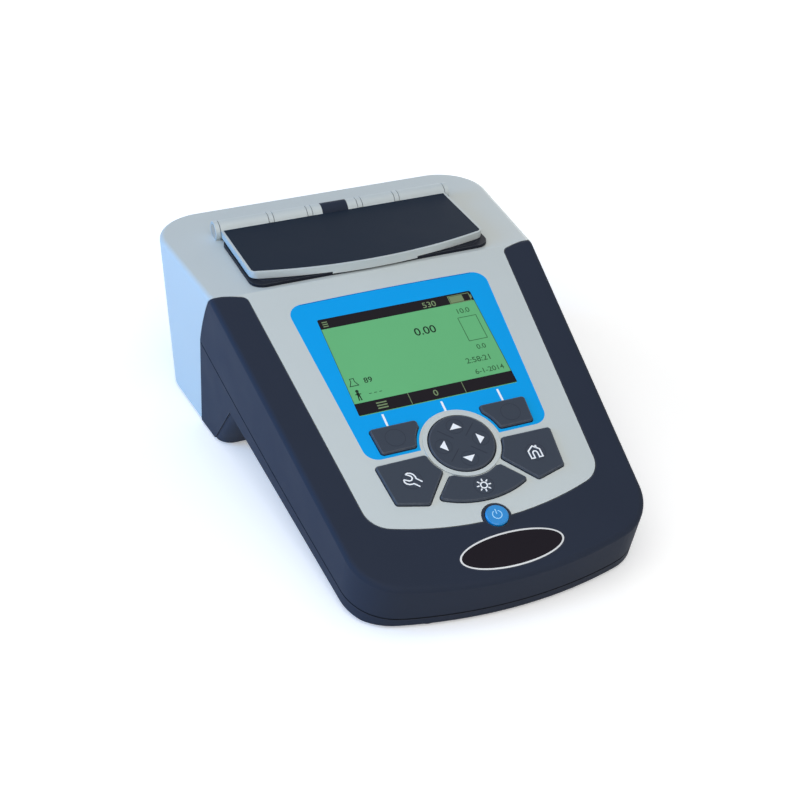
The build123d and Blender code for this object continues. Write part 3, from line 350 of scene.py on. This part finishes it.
def add_gloss_change(nodes, links, shader, gloss, scale):
    """Roughness that varies a little, as on a handled surface."""
    spread = nodes.new("ShaderNodeMapRange")
    set_range(spread, (0.0, 1.0), gloss)
    links.new(noise(nodes, links, scale), spread.inputs["Value"])
    links.new(spread.outputs["Result"], shader.inputs["Roughness"])


def add_worn_edges(nodes, links, shader, share):
    """Slightly paler, rubbed edges over the colour that the shader already has."""
    bevel = nodes.new("ShaderNodeBevel")
    bevel.samples = WEAR_SAMPLES
    bevel.inputs["Radius"].default_value = WEAR_REACH * MM
    geometry = nodes.new("ShaderNodeNewGeometry")
    turn = nodes.new("ShaderNodeVectorMath")
    turn.operation = "DOT_PRODUCT"
    links.new(bevel.outputs["Normal"], turn.inputs[0])
    links.new(geometry.outputs["Normal"], turn.inputs[1])
    edge = nodes.new("ShaderNodeMapRange")
    set_range(edge, WEAR_TURN, (0.0, share))
    links.new(turn.outputs["Value"], edge.inputs["Value"])
    patches = math_node(nodes, links, "MULTIPLY", edge.outputs["Result"],
                        noise(nodes, links, WEAR_PATCHES))
    mix = nodes.new("ShaderNodeMix")
    mix.data_type = "RGBA"
    mix.inputs["B"].default_value = WEAR_TONE
    links.new(patches, mix.inputs["Factor"])
    links.new(shader.inputs["Base Color"].links[0].from_socket, mix.inputs["A"])
    links.new(mix.outputs["Result"], shader.inputs["Base Color"])


def math_node(nodes, links, operation, first, second=None):
    """Math node fed by sockets or plain numbers."""
    node = nodes.new("ShaderNodeMath")
    node.operation = operation
    for socket, value in zip(node.inputs, (first, second)):
        if isinstance(value, (int, float)):
            socket.default_value = value
        elif value is not None:
            links.new(value, socket)
    return node.outputs["Value"]


def add_seam_shadow(nodes, links, shader):
    """Painted shadow: a dark line where the two dark shells meet, along the curve of their seam,
    for the shade in the gap between them.
    """
    (centre_y, centre_z), radius = circle_through(SEAM_REAR, SEAM_MIDDLE, SEAM_FRONT)
    coordinates = nodes.new("ShaderNodeTexCoord")
    split = nodes.new("ShaderNodeSeparateXYZ")
    links.new(coordinates.outputs["Object"], split.inputs[0])
    y, z = split.outputs["Y"], split.outputs["Z"]
    across = math_node(nodes, links, "SUBTRACT", y, centre_y * MM)
    up = math_node(nodes, links, "SUBTRACT", z, centre_z * MM)
    squares = math_node(nodes, links, "ADD", math_node(nodes, links, "MULTIPLY", across, across),
                        math_node(nodes, links, "MULTIPLY", up, up))
    distance = math_node(nodes, links, "SQRT", squares)
    curved = math_node(nodes, links, "SUBTRACT", distance, radius * MM)
    level = math_node(nodes, links, "SUBTRACT", z, SEAM_FRONT[1] * MM)
    ahead = math_node(nodes, links, "LESS_THAN", y, SEAM_FRONT[0] * MM)
    choose = nodes.new("ShaderNodeMix")
    links.new(ahead, choose.inputs["Factor"])
    links.new(curved, choose.inputs["A"])
    links.new(level, choose.inputs["B"])
    away = math_node(nodes, links, "ABSOLUTE", choose.outputs["Result"])
    line = nodes.new("ShaderNodeMapRange")
    edges = [SEAM_HALF_WIDTH * MM * share for share in SEAM_SOFT_EDGE]
    set_range(line, edges, (SEAM_SHADOW_STRENGTH, 0.0))
    links.new(away, line.inputs["Value"])
    # The painted shadow darkens the colour to near black and makes the line fully rough.
    mix = nodes.new("ShaderNodeMix")
    mix.data_type = "RGBA"
    mix.inputs["B"].default_value = SEAM_SHADOW_TONE
    links.new(line.outputs["Result"], mix.inputs["Factor"])
    links.new(shader.inputs["Base Color"].links[0].from_socket, mix.inputs["A"])
    links.new(mix.outputs["Result"], shader.inputs["Base Color"])
    dull = nodes.new("ShaderNodeMix")
    dull.inputs["B"].default_value = 1.0
    links.new(line.outputs["Result"], dull.inputs["Factor"])
    links.new(shader.inputs["Roughness"].links[0].from_socket, dull.inputs["A"])
    links.new(dull.outputs["Result"], shader.inputs["Roughness"])


def shade(colour, factor):
    """The same colour, lighter or darker."""
    return (colour[0] * factor, colour[1] * factor, colour[2] * factor, 1.0)


def plastic(name, colour, gloss, grain=(2500, 0.02), change=0.06, coat=0.0, metallic=0.0,
            shine=0.5, wear=0.0, seam=False):
    """Moulded plastic: fine grain, slow tone changes, uneven gloss, rubbed edges where asked."""
    material, nodes, links, shader = new_material(name)
    add_tone(nodes, links, shader, shade(colour, 1 - change), shade(colour, 1 + change),
             PLASTIC_TONE_SCALE)
    if wear:
        add_worn_edges(nodes, links, shader, wear)
    add_gloss_change(nodes, links, shader, gloss, PLASTIC_GLOSS_SCALE)
    # Painted shadow line along the seam, where asked.
    if seam:
        add_seam_shadow(nodes, links, shader)
    add_grain(nodes, links, shader, *grain)
    shader.inputs["Coat Weight"].default_value = coat
    shader.inputs["Coat Roughness"].default_value = COAT_ROUGHNESS
    shader.inputs["Metallic"].default_value = metallic
    shader.inputs["Specular IOR Level"].default_value = shine
    return material


def metal(name, colour, gloss, brushed=None):
    """Bare metal, brushed along one way where asked."""
    material, nodes, links, shader = new_material(name)
    shader.inputs["Metallic"].default_value = 1.0
    dark, pale = (shade(colour, share) for share in METAL_TONES)
    add_tone(nodes, links, shader, dark, pale, METAL_TONE_SCALE)
    add_gloss_change(nodes, links, shader, gloss, METAL_GLOSS_SCALE)
    add_grain(nodes, links, shader, *METAL_GRAIN, brushed)
    return material


def glass(name, colour):
    """Clear polished glass."""
    material, nodes, links, shader = new_material(name)
    shader.inputs["Base Color"].default_value = colour
    shader.inputs["Transmission Weight"].default_value = 1.0
    shader.inputs["IOR"].default_value = GLASS_INDEX
    add_gloss_change(nodes, links, shader, GLASS_GLOSS, GLASS_GLOSS_SCALE)
    return material


def ink_and_painted_shade(name, colour, gloss=INK_GLOSS):
    """Flat material for printed ink and for painted shade lines, with a very slight unevenness."""
    material, nodes, links, shader = new_material(name)
    dark, pale = (shade(colour, share) for share in INK_TONES)
    add_tone(nodes, links, shader, dark, pale, INK_TONE_SCALE)
    add_gloss_change(nodes, links, shader, gloss, INK_GLOSS_SCALE)
    shader.inputs["Specular IOR Level"].default_value = INK_SHINE
    return material


SILVER = srgb(189, 196, 195)
DARK = srgb(43, 49, 62)
MATERIALS = {
    "silver_plastic": plastic("silver_plastic", SILVER, gloss=(0.42, 0.54), grain=(3200, 0.012),
                              change=0.03, metallic=0.1, shine=0.35, wear=0.25),
    # The dark shells carry the painted seam shadow.
    "dark_plastic": plastic("dark_plastic", DARK, gloss=(0.46, 0.58), grain=(2600, 0.02),
                            change=0.05, shine=0.04, wear=0.12, seam=True),
    "overlay_film": plastic("overlay_film", srgb(0, 156, 226), gloss=(0.32, 0.40),
                            grain=(4000, 0.006), change=0.03, shine=0.12),
    "clear_window": glass("clear_window", (0.95, 0.98, 0.96, 1)),
    "display_glass": plastic("display_glass", srgb(98, 176, 116), gloss=(0.3, 0.4),
                             grain=(5000, 0.002), change=0.03, shine=0.25),
    "white_plastic": plastic("white_plastic", srgb(232, 232, 228), gloss=(0.4, 0.5)),
    "circuit_board": plastic("circuit_board", srgb(24, 110, 66), gloss=(0.25, 0.4),
                             grain=(900, 0.02), change=0.12, coat=0.3),
    "rubber_black": plastic("rubber_black", srgb(17, 23, 36), gloss=(0.7, 0.85),
                            grain=(1800, 0.03), change=0.08, shine=0.15, wear=0.10),
    "key_rubber": plastic("key_rubber", srgb(54, 61, 72), gloss=(0.48, 0.60),
                          grain=(3000, 0.015), change=0.05, shine=0.15, wear=0.16),
    "power_blue": plastic("power_blue", srgb(14, 132, 200), gloss=(0.25, 0.35),
                          grain=(3000, 0.006), change=0.04, coat=0.4, shine=0.3),
    "plaque_black": plastic("plaque_black", srgb(18, 12, 22), gloss=(0.14, 0.22),
                            grain=(2000, 0.002), change=0.05, shine=0.12),
    "bright_trim": metal("bright_trim", srgb(206, 210, 214), gloss=(0.15, 0.25)),
    "steel": metal("steel", srgb(190, 190, 192), gloss=(0.25, 0.4), brushed=(1, 1, 12)),
    "black_plastic": plastic("black_plastic", srgb(16, 20, 31), gloss=(0.5, 0.65),
                             grain=(2200, 0.02), change=0.08, shine=0.15, wear=0.10),
    "bench_aluminium": metal("bench_aluminium", srgb(205, 207, 210), gloss=(0.3, 0.4),
                             brushed=(12, 1, 1)),
    "optical_glass": glass("optical_glass", (0.9, 0.95, 1.0, 1)),
    "cell_jacket": plastic("cell_jacket", srgb(70, 76, 84), gloss=(0.2, 0.3),
                           grain=(800, 0.005), change=0.1, coat=0.4),
    "ribbon_film": plastic("ribbon_film", srgb(225, 222, 214), gloss=(0.35, 0.45)),
}

# Inks and films that only the scene has, and colours for painted shade lines
INK_WHITE = ink_and_painted_shade("ink_white", srgb(240, 243, 246))
INK_PALE_BLUE = ink_and_painted_shade("ink_pale_blue", srgb(170, 220, 250))
INK_CHARCOAL = ink_and_painted_shade("ink_charcoal", srgb(20, 15, 22))
# Dark green for printed display marks, and for the painted shade lines at the display's edges
INK_AND_SHADE_DARK_GREEN = ink_and_painted_shade("ink_and_shade_dark_green", srgb(58, 104, 66), DISPLAY_INK_GLOSS)
INK_BLACK_GREEN = ink_and_painted_shade("ink_black_green", srgb(28, 46, 34), DISPLAY_INK_GLOSS)
INK_GLOW_GREEN = ink_and_painted_shade("ink_glow_green", srgb(120, 140, 100), DISPLAY_INK_GLOSS)
# Painted shade: dark blue line for the shadow at the overlay's top edge
OVERLAY_EDGE_SHADE = ink_and_painted_shade("overlay_edge_shade", srgb(0, 92, 168))
LID_FILM = plastic("lid_film", srgb(26, 36, 49), gloss=(0.46, 0.56), grain=(4000, 0.006),
                   change=0.04, shine=0.04)
# Painted shade: darker key colour for the rings and grooves pressed into the keys
KEY_DIMPLE_SHADE = plastic("key_dimple_shade", srgb(43, 48, 59), gloss=(0.5, 0.62), grain=(3000, 0.015),
                     change=0.05, shine=0.15)


def dress_frame():
    """Give every solid of the frame its material."""
    for part in frame["record"]["subparts"]:
        piece = frame["nodes"][part["node"]]
        material = MATERIALS[part["material_slot"]]
        if piece.material_slots:
            for slot in piece.material_slots:
                slot.material = material
        else:
            piece.data.materials.append(material)


# Flat drawings, most of them on the panel
def new_piece(name, body, material, faces, bottom, top, place=on_panel):
    """Thin plate from outlines in millimetres, between two heights."""
    vertices, polygons = [], []
    for outline in faces:
        count = len(outline)
        start = len(vertices)
        vertices += [place(u, v, top) for u, v in outline]
        vertices += [place(u, v, bottom) for u, v in outline]
        polygons.append([start + i for i in range(count)])
        polygons.append([start + count + i for i in reversed(range(count))])
        for i in range(count):
            j = (i + 1) % count
            polygons.append([start + j, start + i, start + count + i, start + count + j])
    mesh = bpy.data.meshes.new(name)
    mesh.from_pydata(vertices, [], polygons)
    mesh.materials.append(material)
    piece = bpy.data.objects.new(name, mesh)
    bpy.context.scene.collection.objects.link(piece)
    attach(piece, body)
    return piece


def rectangle(u0, u1, v0, v1):
    """Corners of a rectangle, anticlockwise."""
    return [(u0, v0), (u1, v0), (u1, v1), (u0, v1)]


def stroke(points, width, closed=False):
    """Outlines of a line of even width through points, one four-sided piece a run."""
    half = width / 2
    count = len(points)
    sides = []
    for i, (u, v) in enumerate(points):
        before = points[i - 1] if i or closed else points[i]
        after = points[(i + 1) % count] if i < count - 1 or closed else points[i]
        into = Vector((u - before[0], v - before[1]))
        out = Vector((after[0] - u, after[1] - v))
        into = into.normalized() if into.length else out.normalized()
        out = out.normalized() if out.length else into
        normal = Vector((-(into + out).y, (into + out).x)).normalized()
        reach = half / max(normal.dot(Vector((-out.y, out.x))), 0.5)
        sides.append((
            (u + normal.x * reach, v + normal.y * reach),
            (u - normal.x * reach, v - normal.y * reach),
        ))
    runs = range(count if closed else count - 1)
    return [
        [sides[i][1], sides[(i + 1) % count][1], sides[(i + 1) % count][0], sides[i][0]]
        for i in runs
    ]


def moved(points, centre):
    """The same points, drawn round a centre."""
    return [(centre[0] + u, centre[1] + v) for u, v in points]


def at_angle(centre, radius, angle):
    """Place at a distance and an angle in degrees from a centre."""
    turn = math.radians(angle)
    return (centre[0] + radius * math.cos(turn), centre[1] + radius * math.sin(turn))


def arc(centre, radius, start, end, steps=24):
    """Points on an arc, angles in degrees, both ends included."""
    return [
        at_angle(centre, radius, start + (end - start) * i / steps) for i in range(steps + 1)
    ]


def arc_between(first, middle, last, steps):
    """Points on the arc through three points, both ends included."""
    centre, radius = circle_through(first, middle, last)
    start, end = (
        math.degrees(math.atan2(y - centre[1], x - centre[0])) for x, y in (first, last)
    )
    return arc(centre, radius, start, end, steps)


def circle(centre, radius, steps=32):
    """Points on a full circle."""
    return arc(centre, radius, 0, 360 - 360 / steps, steps - 1)


def number(name, text, centre, height, material, top):
    """Plain digits on the display, height in millimetres."""
    curve = bpy.data.curves.new(name, "FONT")
    curve.body = text
    curve.align_x = "CENTER"
    curve.align_y = "CENTER"
    curve.size = height * DIGIT_FONT_SHARE * MM
    curve.extrude = DIGIT_THICKNESS / 2 * MM
    curve.offset = DIGIT_BOLD * height * MM
    shape = bpy.data.objects.new(name + "_curve", curve)
    bpy.context.scene.collection.objects.link(shape)
    bpy.context.view_layer.update()
    mesh = bpy.data.meshes.new_from_object(shape)
    bpy.data.objects.remove(shape)
    middle = top - DIGIT_THICKNESS / 2
    lift = Matrix.Translation((centre[0] * MM, centre[1] * MM, middle * MM))
    mesh.transform(PANEL @ lift)
    mesh.name = name
    mesh.materials.clear()
    mesh.materials.append(material)
    piece = bpy.data.objects.new(name, mesh)
    bpy.context.scene.collection.objects.link(piece)
    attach(piece, "root")


# Display picture, in millimetres from the display's centre
LCD_HALF_WIDTH = 39.4
LCD_HALF_HEIGHT = 29.3
LCD_FACE = -0.15
LCD_INK = LCD_FACE + PRINT
LCD_BAR_INK = LCD_INK + PRINT
# Width of the painted shade line along the display's foot
LCD_FOOT_SHADE = 0.15
STATUS_BAR_V = 23.3
FOOT_BAR_V = -22.0
FOOT_BAR_LIFT = 0.5
DIVIDERS_U = (-13.3, 13.5)
DIVIDER_HALF_WIDTH = 0.15
DIVIDER_FOOT = -28.7
FLASK_CENTRE = (-35.5, -9.9)
PERSON_HIP = (-35.5, -18.2)
DASHES_U = (-30.5, -28.0, -25.5)
DASH_LENGTH = 1.3
DASH_HEIGHTS = (-18.0, -17.7)

# Boxes on the display by their left, right, low and high edges, and the rise from line to line
GAUGE = (26.9, 36.3, -0.3, 14.3)
BATTERY_CASE = (27.1, 38.0, 23.5, 28.2)
BATTERY_CHARGE = (27.5, 34.4, 23.9, 27.8)
BATTERY_TIP = (38.2, 38.9, 24.8, 26.9)
STATUS_LINE = (-37.6, -35.0, 24.4, 25.0)
STATUS_LINE_RISE = 1.3
FOOT_LINE = (-29.4, -24.4, -27.3, -26.6)
FOOT_LINE_RISE = 1.5

# Numbers on the display, each with its text, centre, height, ink and top
READINGS = {
    "lcd_reading": ("0.00", (8.6, 10.8), 4.6, INK_BLACK_GREEN, LCD_INK),
    "lcd_gauge_top": ("10.0", (31.0, 18.1), 3.0, INK_AND_SHADE_DARK_GREEN, LCD_INK),
    "lcd_gauge_foot": ("0.0", (31.2, -4.7), 2.8, INK_AND_SHADE_DARK_GREEN, LCD_INK),
    "lcd_clock": ("2:58:21", (27.0, -11.6), 3.2, INK_AND_SHADE_DARK_GREEN, LCD_INK),
    "lcd_date": ("6-1-2014", (29.6, -18.6), 2.9, INK_AND_SHADE_DARK_GREEN, LCD_INK),
    "lcd_count": ("89", (-28.2, -10.3), 3.0, INK_BLACK_GREEN, LCD_INK),
    "lcd_wave": ("530", (16.5, 25.6), 3.4, INK_GLOW_GREEN, LCD_BAR_INK),
    "lcd_zero": ("0", (-0.5, -25.4), 3.4, INK_GLOW_GREEN, LCD_BAR_INK),
}


def display_picture():
    """Green display with its bars, gauge, battery sign and plain numbers."""
    face = new_piece(
        "lcd_face", "root", MATERIALS["display_glass"],
        [rectangle(-LCD_HALF_WIDTH, LCD_HALF_WIDTH, -LCD_HALF_HEIGHT, LCD_HALF_HEIGHT)],
        -WINDOW_THICKNESS, LCD_FACE,
    )
    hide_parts("display_window")
    left, right, foot = -LCD_HALF_WIDTH, LCD_HALF_WIDTH, -LCD_HALF_HEIGHT
    bars = [
        rectangle(left, right, STATUS_BAR_V, LCD_HALF_HEIGHT),
        rectangle(left, right, foot + FOOT_BAR_LIFT, FOOT_BAR_V),
    ]
    new_piece("lcd_bars", "root", INK_CHARCOAL, bars, LCD_FACE, LCD_INK)
    # Painted shade: dark green lines along the display's sides and foot, for the shadow of the
    # sunk window's edges
    edge_shade = [rectangle(u, u + LCD_LINE, FOOT_BAR_V, STATUS_BAR_V) for u in (left, right - LCD_LINE)]
    edge_shade.append(rectangle(left, right, foot, foot + LCD_FOOT_SHADE))
    new_piece("lcd_edge_shade", "root", INK_AND_SHADE_DARK_GREEN, edge_shade, LCD_FACE, LCD_INK)
    new_piece("lcd_bar_marks", "root", INK_GLOW_GREEN, bar_marks(),
              LCD_INK, LCD_BAR_INK)
    gauge = stroke(rectangle(*GAUGE), LCD_LINE, True)
    new_piece("lcd_gauge", "root", INK_AND_SHADE_DARK_GREEN, gauge, LCD_FACE, LCD_INK)
    signs = flask_sign() + person_sign()
    signs += [rectangle(u, u + DASH_LENGTH, *DASH_HEIGHTS) for u in DASHES_U]
    new_piece("lcd_signs", "root", INK_BLACK_GREEN, signs, LCD_FACE, LCD_INK)
    for name, settings in READINGS.items():
        number(name, *settings)


def bar_marks():
    """Dividers of the foot bar, battery sign, and three short lines in each bar."""
    lines = [
        rectangle(u - DIVIDER_HALF_WIDTH, u + DIVIDER_HALF_WIDTH, DIVIDER_FOOT, FOOT_BAR_V)
        for u in DIVIDERS_U
    ]
    lines += [rectangle(*BATTERY_CHARGE), rectangle(*BATTERY_TIP)]
    lines += stroke(rectangle(*BATTERY_CASE), LCD_LINE, True)
    lines += line_stack(STATUS_LINE, STATUS_LINE_RISE)
    lines += line_stack(FOOT_LINE, FOOT_LINE_RISE)
    return lines


def line_stack(lowest, rise):
    """Three short lines, one over another."""
    left, right, low, high = lowest
    return [rectangle(left, right, low + row * rise, high + row * rise) for row in range(3)]


def flask_sign():
    """Outline of a conical flask."""
    outline = [(-0.9, 2.1), (-0.9, 0.3), (-2.1, -2.1), (2.1, -2.1), (0.9, 0.3), (0.9, 2.1)]
    return stroke(moved(outline, FLASK_CENTRE), LCD_LINE, True)


def person_sign():
    """Small standing figure: head, body, arms and two legs."""
    limbs = [
        ([(0, 2.2), (0, -0.2)], 1.3),
        ([(-1.4, 1.2), (1.4, 1.2)], 0.5),
        ([(-0.4, 0), (-0.6, -2.4)], 0.55),
        ([(0.4, 0), (0.6, -2.4)], 0.55),
    ]
    figure = [moved(circle((0, 3.0), 0.8, steps=16), PERSON_HIP)]
    for line, width in limbs:
        figure += stroke(moved(line, PERSON_HIP), width)
    return figure


# Lid
def lid_film():
    """Dark film on the lid, close to its edges, with a bowed front."""
    half = LID_HALF_WIDTH - LID_FILM_INSET
    front = LID_FRONT_Y + LID_FILM_INSET
    side_front = front + LID_FRONT_BOW
    corner = LID_FILM_CORNER
    corner_y = side_front + LID_FILM_CORNER_SHIFT
    bow_end = corner_y - corner
    bow = arc_between((-half + corner, bow_end), (0, front), (half - corner, bow_end), steps=40)
    round_right = arc((half - corner, corner_y), corner, LID_FILM_CORNER_START, 0, steps=8)
    round_left = [(-x, y) for x, y in reversed(round_right)]
    outline = bow + round_right + [(half, LID_FILM_REAR_Y), (-half, LID_FILM_REAR_Y)] + round_left
    new_piece("lid_film", "lid", LID_FILM, [outline],
              LID_TOP - LID_FILM_THICKNESS, LID_TOP + LID_FILM_THICKNESS, on_body)


# Marks on the overlay and the keys, painted shade lines among them, in millimetres and degrees
EDGE_LINE = 0.35
EDGE_LINE_TOP = 0.02
EDGE_LINE_INSET = 0.25
EDGE_LINE_END_RISE = 0.1
RING_RADIUS = 4.6
RING_LINE = 0.22
RING_STEPS = 48
NAV_REACH = 9.1
NAV_RING_RADIUS = 3.9
NAV_RING_LINE = 0.2
NAV_GROOVE_REACH = (4.2, 12.4)
NAV_GROOVE_LINE = 0.4
ARROW_HALF_WIDTH = 2.9
ARROW_FOOT = NAV_REACH - 1.4
ARROW_TIP = NAV_REACH + 1.8
SUN_RADIUS = 1.5
SUN_RAY = (2.1, 3.4)
POWER_RADIUS = 2.1
POWER_ARC = (118, 422)
POWER_BAR = (0.3, 2.9)


def overlay_marks():
    """White ticks over the keys, and a painted shade line along the overlay's top edge."""
    half_tick = TICK_WIDTH / 2
    ticks = [
        rectangle(u - half_tick, u + half_tick, SIDE_TICK_FOOT, TICK_TOP) for u in SIDE_TICKS_U
    ]
    ticks.append(rectangle(-half_tick, half_tick, MIDDLE_TICK_FOOT, TICK_TOP))
    new_piece("overlay_ticks", "root", INK_WHITE, ticks, OVERLAY_PRINT_FOOT, PRINT)
    new_piece("overlay_edge_shade", "root", OVERLAY_EDGE_SHADE,
              stroke(overlay_edge_shade(), EDGE_LINE), OVERLAY_PRINT_FOOT, EDGE_LINE_TOP)


def overlay_edge_shade():
    """Painted shade line just inside the overlay's bowed top edge."""
    half = OVERLAY_HALF_WIDTH - OVERLAY_CORNER
    top = OVERLAY_TOP - EDGE_LINE_INSET
    end = top + EDGE_LINE_END_RISE
    return arc_between((-half, end), (0, top + OVERLAY_BOW), (half, end), steps=24)


def key_signs():
    """Signs on the keys, each riding with its key."""
    signs = {
        "nav_arrows": ("nav_key", INK_WHITE, "key_rubber", nav_arrows()),
        "tools_sign": ("tools_key", INK_WHITE, "key_rubber", tools_sign(TOOLS_CENTRE)),
        "home_sign": ("home_key", INK_WHITE, "key_rubber", house_sign(HOME_CENTRE)),
        "backlight_sign": ("backlight_key", INK_WHITE, "key_rubber", sun_sign(BACKLIGHT_CENTRE)),
        "power_sign": ("power_key", INK_PALE_BLUE, "power_blue", power_sign(POWER_CENTRE)),
    }
    for name, (key, ink, slot, outlines) in signs.items():
        new_piece(name, key, ink, outlines, KEY_TOP, KEY_TOP + KEY_PRINT)


def key_rings():
    """Painted shade of the faint rings round the signs, and of the rings and grooves of the
    navigation key, in a darker key colour.
    """
    rings = {
        "tools_key": TOOLS_CENTRE,
        "home_key": HOME_RING_CENTRE,
        "backlight_key": BACKLIGHT_CENTRE,
        "soft_key_left": SOFT_KEY_LEFT_CENTRE,
        "soft_key_right": SOFT_KEY_RIGHT_CENTRE,
    }
    ring_top = KEY_TOP + PRINT
    for key, centre in rings.items():
        ring = stroke(circle(centre, RING_RADIUS, RING_STEPS), RING_LINE, True)
        new_piece(key + "_dimple_shade", key, KEY_DIMPLE_SHADE, ring, KEY_TOP, ring_top)
    new_piece("nav_dimple_shade", "nav_key", KEY_DIMPLE_SHADE, nav_rings(), KEY_TOP, ring_top)


def nav_arrows():
    """Four triangles that point away from the middle of the navigation key."""
    triangle = ((-ARROW_HALF_WIDTH, ARROW_FOOT), (ARROW_HALF_WIDTH, ARROW_FOOT), (0, ARROW_TIP))
    arrows = []
    for quarter in range(4):
        turn = math.radians(90 * quarter)
        cos, sin = math.cos(turn), math.sin(turn)
        turned = [(u * cos - v * sin, u * sin + v * cos) for u, v in triangle]
        arrows.append(moved(turned, NAV_CENTRE))
    return arrows


def nav_rings():
    """Painted shade of a ring round each arrow, and of a groove between neighbouring arrows."""
    lines = []
    for quarter in range(4):
        angle = 90 * quarter
        centre = at_angle(NAV_CENTRE, NAV_REACH, angle)
        lines += stroke(circle(centre, NAV_RING_RADIUS, RING_STEPS), NAV_RING_LINE, True)
        groove = [at_angle(NAV_CENTRE, reach, angle + 45) for reach in NAV_GROOVE_REACH]
        lines += stroke(groove, NAV_GROOVE_LINE)
    return lines


def tools_sign(centre):
    """Open spanner drawn as an outline, with its jaw towards the left."""
    upper = [(-1.9, 3.5), (-0.7, 3.9), (0.6, 3.5), (1.6, 2.5), (2.0, 1.3), (2.1, 0.2),
             (4.2, -2.0)]
    jaw = [(-1.9, 3.5), (-0.6, 2.7), (0.3, 1.9), (0.5, 0.8), (-0.3, -0.1), (-1.3, -0.2),
           (-3.5, 1.1)]
    lower = [(-3.5, 1.1), (-3.6, -0.2), (-3.1, -1.2), (-1.9, -2.0), (-0.7, -2.1), (0.2, -2.0),
             (2.3, -4.2)]
    lines = []
    for path in (upper, jaw, lower):
        lines += stroke(moved(path, centre), SIGN_LINE)
    return lines


def house_sign(centre):
    """House outline with a round-topped door and a short chimney."""
    outline = [(-2.8, -3.1), (-2.8, 1.0), (0, 3.3), (2.8, 1.0), (2.8, -3.1), (1.1, -3.1)]
    outline += arc((0, -0.6), 1.1, 0, 180, steps=8)
    outline += [(-1.1, -3.1)]
    chimney = [(1.6, 2.0), (1.6, 3.4)]
    lines = stroke(moved(outline, centre), SIGN_LINE, True)
    return lines + stroke(moved(chimney, centre), CHIMNEY_LINE)


def sun_sign(centre):
    """Ring with eight rays."""
    lines = stroke(circle(centre, SUN_RADIUS, steps=24), SUN_LINE, True)
    for ray in range(8):
        lines += stroke([at_angle(centre, reach, 45 * ray) for reach in SUN_RAY], SUN_LINE)
    return lines


def power_sign(centre):
    """Broken ring with a bar at its top."""
    bar = moved([(0, height) for height in POWER_BAR], centre)
    return stroke(arc(centre, POWER_RADIUS, *POWER_ARC), POWER_LINE) + stroke(bar, POWER_LINE)


# Scene
add_camera()
add_world()
add_floor()
for lamp_name, settings in LAMPS.items():
    add_area_light(lamp_name, *settings)
bpy.context.scene.view_settings.view_transform = "Standard"
dress_frame()
display_picture()
overlay_marks()
key_signs()
key_rings()
lid_film()
